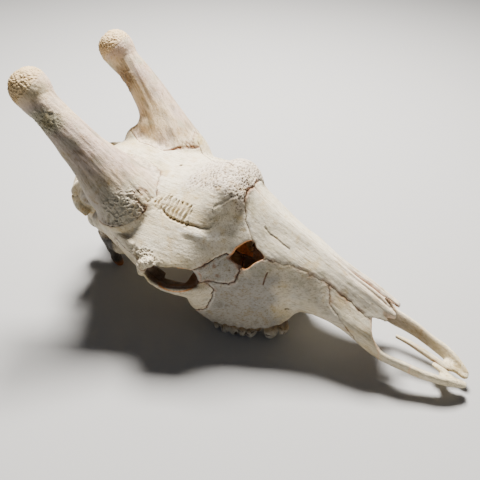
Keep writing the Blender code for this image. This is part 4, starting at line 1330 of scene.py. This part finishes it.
def frontal_paint(p, normal, inner):
    q, top, knob, _, rim = brow_places(p, normal)
    colour = bone_paint(p, normal, inner)
    colour = blended(colour, "#d6c6bc", 0.5 * knob)
    dots = fade(grains(p @ ASKEW, 4.2, 91), 0.46, 0.24)
    colour = blended(colour, "#7f6c58", 0.75 * dots * np.maximum(knob, 0.6 * rim))
    # painted light: the upward-facing lower part of the brow is made paler
    colour = blended(colour, "#ece2cc", 0.5 * top * fade(q[:, 2], 190.0, 170.0))
    gap, run = off_line(q * PLAN, BROW_GROOVE)
    stain = top * fade(gap, 1.8, 0.4) * fade(run, 0.1, 0.2) * fade(run, 0.6, 0.5)
    colour = blended(colour, "#8a683c", 0.6 * stain)
    gap, _ = off_line(q * PLAN, BROW_RIDGE)
    colour = blended(colour, "#f2ecdd", 0.7 * top * fade(gap, 3.0, 0.8))
    gap, _ = off_line(p * PLAN, BASE_CRACK)
    colour = blended(colour, RUST, 0.8 * top * fade(gap, 2.4, 0.8))
    gap, _ = off_line(p * PLAN, FAR_CRACK)
    return blended(colour, SOIL, 0.75 * top * fade(gap, 1.1, 0.4))


# the brow and the braincase have grown together, so nothing parts them and their walls aren't crumbled
bone, skull = freed(skull, FRONTAL, (0.0, 1.0, 0.0), -160.0, 160.0, teeth=1.0, gap=0.0, slot=SHUT_WALL)
p = places(bone)
outward, _ = skin_normals(bone)
q, top, knob, comb, rim = brow_places(p, outward)
groove, _ = off_line(q * PLAN, BROW_GROOVE[:8])
ahead = fade(q[:, 0], 224.0, 226.0) * fade(q[:, 1], 28.0, 26.0)
# its grid is finer where its relief is: the comb, the rims, the groove and the front of the knob
fine = (comb > 0.4) | (rim > 0.6) | ((groove < 3.5) & (top > 0.5)) | (top * knob * ahead > 0.6)
bone = dressed(finer(bone, fine), frontal_relief, frontal_paint, FRONTAL_GRAIN)
laid("brow", bone, face_bone, "bone", "frontal")

# Braincase
# The back of the skull: roof and walls of the brain, the flaring crest that the neck hung from, the ear
# region and the two smooth knuckles that sat on the first neck bone.
BRAINCASE_GRAIN = (0.6, 0.0, 1.0)


def braincase_relief(p, normal):
    q = folded(p)
    x, y, z = q.T
    push = plain_relief(p, streaked(p, BRAINCASE_GRAIN))
    knuckle = near(q, (6, 24, 99), (22, 24, 28))
    crest = fade(x, 34.0, 24.0) * fade(z, 150.0, 175.0) * fade(y, 60.0, 48.0)
    ear = near(q, (60, 60, 110), (40, 40, 45))
    pocks = np.clip(0.5 - grains(p, 4.8, 101), 0.0, 1.0)
    push += crest * (0.9 * mottle(p, 5.0, 102) - 1.5 * pocks)
    push += ear * (0.8 * mottle(p, 5.5, 103) - 1.2 * pocks)
    return push * (1.0 - 0.8 * knuckle), np.maximum(0.7 * crest, ear) * (1.0 - knuckle)


def braincase_paint(p, normal, inner):
    q = folded(p)
    x, _, z = q.T
    colour = bone_paint(p, normal, 0.7 * inner * fade(z, 146.0, 134.0) * fade(x, 16.0, 26.0))
    colour = blended(colour, "#a39c98", 0.8 * near(q, (60, 76, 166), (30, 26, 30)))
    stain = near(q, (50, 66, 142), (26, 22, 18)) * fade(mottle(p, 6.0, 104), 0.0, 0.6)
    colour = blended(colour, "#c9a25e", 0.7 * stain)
    colour = blended(colour, "#6d5638", 0.6 * near(q, (58, 52, 105), (45, 36, 42)))
    process = fade(x, 66.0, 58.0)
    # painted shade: near-black low on the back of the skull, over the ear processes
    colour = blended(colour, "#241f1e", 0.92 * fade(z, 96.0, 82.0) * process)
    return blended(colour, "#a4652f", 0.8 * fade(z, 34.0, 24.0) * process)


bone = dressed(one_body(skull), braincase_relief, braincase_paint, BRAINCASE_GRAIN)
laid("braincase_and_crest", bone, face_bone, "bone", "braincase")

# Floor and light
# A plain floor, one soft warm lamp high behind the far side of the head, and a faint cool sky that fills the
# shade on the near side.
FLOOR_GREY = 0.42          # the share of the light that the floor throws back
FLOOR_HALF = 6.0           # half its side, m
LAMP_PLACE = (-0.42, 0.76, 1.70)
LAMP_SIDE = 0.5            # m
LAMP_WATTS = 180.0
LAMP_AIM = Vector((0.0, 0.0, 0.12))
SKY_STRENGTH = 0.09

bm = bmesh.new()
bmesh.ops.create_grid(bm, x_segments=1, y_segments=1, size=FLOOR_HALF)
floor_mesh = written(bm, bpy.data.meshes.new("floor"))
# matt paper, toned to a pale grey
paper = bpy.data.materials.new("white_paper")
paper.use_nodes = True
paper_shader = paper.node_tree.nodes["Principled BSDF"]
paper_shader.inputs["Base Color"].default_value = (FLOOR_GREY, FLOOR_GREY, FLOOR_GREY, 1.0)
paper_shader.inputs["Roughness"].default_value = 0.9
floor_mesh.materials.append(paper)
floor = on_bench("floor", floor_mesh)

lamp = bpy.data.lights.new("lamp_above", "AREA")
lamp.size = LAMP_SIDE
lamp.energy = LAMP_WATTS
lamp.color = (1.0, 0.96, 0.90)
holder = on_bench("lamp_above", lamp)
holder.location = LAMP_PLACE
holder.rotation_euler = (LAMP_AIM - Vector(LAMP_PLACE)).to_track_quat("-Z", "Y").to_euler()
world = bpy.data.worlds.new("studio")
world.use_nodes = True
sky = world.node_tree.nodes["Background"]
sky.inputs["Color"].default_value = (0.80, 0.86, 1.0, 1.0)
sky.inputs["Strength"].default_value = SKY_STRENGTH
bpy.context.scene.world = world

# Camera
# It looks down on the right side of the face, from where the photograph was taken. Its place and its three
# axes are in the skull's own frame, in mm.
EYE = (525.75, -457.96, 539.84)
RIGHT = (0.88101, 0.47101, -0.04429)
UPWARD = (-0.26502, 0.56892, 0.77852)
BACK = (0.39189, -0.67415, 0.62605)
PICTURE = 480.0            # width of the photograph in pixels
FOCUS = 479.9              # focal length in those pixels
SENSOR = 36.0              # width of the camera's sensor, mm
turn = Matrix((RIGHT, UPWARD, BACK)).transposed().to_4x4()
photo_camera = bpy.data.cameras.new("camera")
photo_camera.sensor_width = SENSOR
photo_camera.lens = FOCUS / PICTURE * SENSOR
viewer = on_bench("camera", photo_camera)
viewer.matrix_world = Matrix.Translation(REST @ Vector(EYE)) @ Matrix.Rotation(-SNOUT_LIFT, 4, "Y") @ turn
bpy.context.scene.camera = viewer
